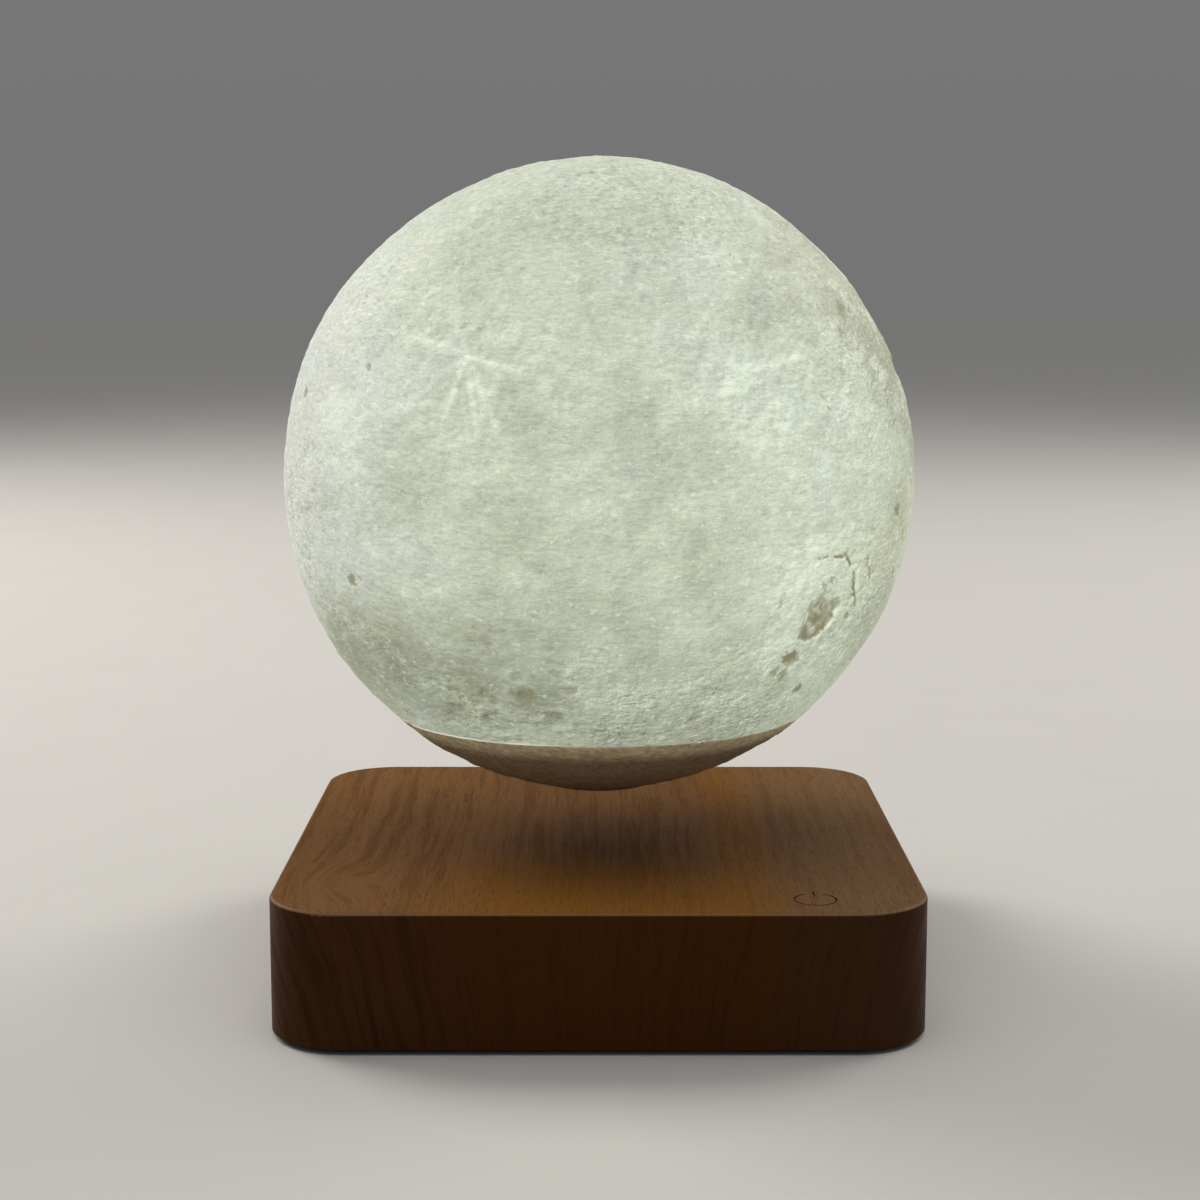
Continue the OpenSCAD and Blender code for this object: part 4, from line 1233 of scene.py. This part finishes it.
class MOONLAMP_OT_base(bpy.types.Operator):
    """Finishes the wooden case, the bottom plate, its feet and screws"""

    bl_idname = "moonlamp.base"
    bl_label = "Wooden base"

    def execute(self, context):
        dress(wood_material(context.scene.moonlamp_wood), "base_case")
        black = plastic_material("black_plastic", (0.022, 0.020, 0.019), 0.5, 0.45)
        dress(black, "bottom_plate", "magnet_tray", "module_cover")
        dress(plastic_material("rubber", (0.018, 0.018, 0.018), 0.82, 0.25, 1.6), *named_nodes("foot_"))
        steel = metal_material("screw_steel", (0.56, 0.57, 0.58), 0.28, 0.25)
        dress(steel, "plate_screws", "module_screws", "receiver_screws", "light_screws")
        return {"FINISHED"}


class MOONLAMP_OT_inlet(bpy.types.Operator):
    """Finishes the power inlet in the rear wall and its leads"""

    bl_idname = "moonlamp.inlet"
    bl_label = "Power inlet"

    def execute(self, context):
        dress(plastic_material("inlet_plastic", (0.016, 0.016, 0.017), 0.32, 0.6), "inlet_body")
        dress(metal_material("brass", (0.78, 0.58, 0.27), 0.25), "inlet_pin", "standoffs")
        dress(plastic_material("black_lead", (0.020, 0.019, 0.018), 0.45, 0.35), "power_leads")
        dress(plastic_material("red_lead", (0.36, 0.030, 0.025), 0.42, 0.35), "touch_leads", "light_leads")
        return {"FINISHED"}


class MOONLAMP_OT_electronics(bpy.types.Operator):
    """Finishes the boards and the parts on them"""

    bl_idname = "moonlamp.electronics"
    bl_label = "Boards and parts"

    def execute(self, context):
        green = board_material("green_board", (0.012, 0.105, 0.040), (0.030, 0.205, 0.085))
        dress(green, "control_board", "sensor_board", "touch_board", "receiver_board")
        dress(board_material("white_board", (0.80, 0.80, 0.77), (0.70, 0.70, 0.66)), "light_board")
        chips = plastic_material("chip_resin", (0.014, 0.014, 0.015), 0.55, 0.3, 1.8)
        dress(chips, "driver_chips", "controller_chip", "hall_sensors", "sensor_header", "touch_chip")
        dress(plastic_material("part_resin", (0.028, 0.027, 0.030), 0.5, 0.4, 1.8), "receiver_parts")
        nylon = plastic_material("plug_nylon", (0.72, 0.68, 0.56), 0.42, 0.6, 1.1)
        dress(nylon, "power_connector", "touch_connector")
        dress(magnet_material("ferrite", (0.060, 0.060, 0.064)), "choke_coil")
        dress(can_material(), "capacitors")
        dress(lamp_material(), "lamps")
        return {"FINISHED"}


class MOONLAMP_OT_coils(bpy.types.Operator):
    """Finishes the lifting magnet, the steering coils and the flat coils"""

    bl_idname = "moonlamp.coils"
    bl_label = "Magnets and coils"

    def execute(self, context):
        dress(magnet_material("ring_magnet", (0.105, 0.105, 0.112)), "ring_magnet")
        dress(wound_material("wound_up", "up", 0.45), *named_nodes("winding_"))
        dress(wound_material("wound_flat", "out", 0.9), "send_coil", "receive_coil")
        dress(wound_material("bare_wire", "up", 2.0), "send_leads", "receive_leads")
        dress(plastic_material("bobbin_nylon", (0.56, 0.50, 0.38), 0.4, 0.6, 1.12), *named_nodes("bobbin_"))
        dress(metal_material("core_iron", (0.36, 0.35, 0.35), 0.4, 0.3), *named_nodes("core_"))
        dress(metal_material("copper_foil", (0.80, 0.42, 0.25), 0.3, 0.5), "touch_pad")
        return {"FINISHED"}


def look_from(position, target):
    return (Vector(target) - Vector(position)).to_track_quat("-Z", "Y").to_euler()


def add_soft_light(name, position, target, size, power, colour):
    data = bpy.data.lights.new(name, "AREA")
    data.shape = "DISK"
    data.size = size
    data.energy = power
    data.color = colour
    light = bpy.data.objects.new(name, data)
    bpy.context.scene.collection.objects.link(light)
    light.location = position
    light.rotation_euler = look_from(position, target)


class MOONLAMP_OT_stage(bpy.types.Operator):
    """Makes the pale floor, the soft lights and the camera"""

    bl_idname = "moonlamp.stage"
    bl_label = "Stage"

    def execute(self, context):
        settings = context.scene.moonlamp_stage
        pick_none()
        bpy.ops.mesh.primitive_circle_add(vertices=96, radius=9, fill_type="NGON", location=(0, 0, 0))
        floor = context.active_object
        floor.name = "floor"
        give_material(floor, floor_material(settings.floor_colour))

        world = bpy.data.worlds.new("pale_room")
        context.scene.world = world
        world.use_nodes = True
        upward = parts(add("TexCoord", tree=world.node_tree)["Generated"])[2]
        light = grade(upward, 0.0, 0.8, settings.low_light, settings.high_light)
        feed(world.node_tree.nodes["Background"], Color=light)

        add_soft_light("key", (-1.15, 0.80, 0.95), (0, 0, 0.03), 0.9, settings.key_power, (1.0, 0.95, 0.88))
        add_soft_light("fill", (1.15, 0.85, 0.90), (0, 0, 0.03), 0.9, settings.fill_power, (1.0, 0.96, 0.91))
        add_soft_light("top", (0, -0.20, 1.80), (0, -0.1, 0), 1.5, settings.top_power, (1.0, 0.98, 0.95))

        camera = bpy.data.objects.new("camera", bpy.data.cameras.new("camera"))
        context.scene.collection.objects.link(camera)
        camera.location = (0, -settings.distance, settings.height)
        camera.rotation_euler = (math.pi / 2 - settings.pitch, 0, 0)
        camera.data.lens = settings.lens
        camera.data.shift_x = CAMERA_SHIFT
        camera.data.clip_start = 0.01
        camera.data.clip_end = 50
        context.scene.camera = camera
        context.scene.view_settings.view_transform = "Standard"
        return {"FINISHED"}


PIECE_OPERATORS = (
    MOONLAMP_OT_effects,
    MOONLAMP_OT_globe,
    MOONLAMP_OT_cap,
    MOONLAMP_OT_foot,
    MOONLAMP_OT_base,
    MOONLAMP_OT_inlet,
    MOONLAMP_OT_electronics,
    MOONLAMP_OT_coils,
    MOONLAMP_OT_stage,
)
SETTINGS = {
    "moonlamp_globe": MoonLampGlobe,
    "moonlamp_cap": MoonLampCap,
    "moonlamp_wood": MoonLampWood,
    "moonlamp_stage": MoonLampStage,
}


class MOONLAMP_PT_panel(bpy.types.Panel):
    """Lists the steps and the settings"""

    bl_idname = "MOONLAMP_PT_panel"
    bl_label = "Moon lamp"
    bl_space_type = "VIEW_3D"
    bl_region_type = "UI"
    bl_category = "Moon lamp"

    def draw(self, context):
        for operator in PIECE_OPERATORS:
            self.layout.operator(operator.bl_idname)
        for name, kind in SETTINGS.items():
            box = self.layout.box()
            box.label(text=name.replace("moonlamp_", "").capitalize())
            for value in kind.__annotations__:
                box.prop(getattr(context.scene, name), value)


def register():
    for kind in (*SETTINGS.values(), *PIECE_OPERATORS, MOONLAMP_PT_panel):
        bpy.utils.register_class(kind)
    for name, kind in SETTINGS.items():
        setattr(bpy.types.Scene, name, PointerProperty(type=kind))


def unregister():
    for name in SETTINGS:
        delattr(bpy.types.Scene, name)
    for kind in (MOONLAMP_PT_panel, *PIECE_OPERATORS, *SETTINGS.values()):
        bpy.utils.unregister_class(kind)


def main():
    register()
    bpy.ops.moonlamp.effects()
    bpy.ops.moonlamp.globe()
    bpy.ops.moonlamp.cap()
    bpy.ops.moonlamp.foot()
    bpy.ops.moonlamp.base()
    bpy.ops.moonlamp.inlet()
    bpy.ops.moonlamp.electronics()
    bpy.ops.moonlamp.coils()
    bpy.ops.moonlamp.stage()


if __name__ == "__main__":
    main()
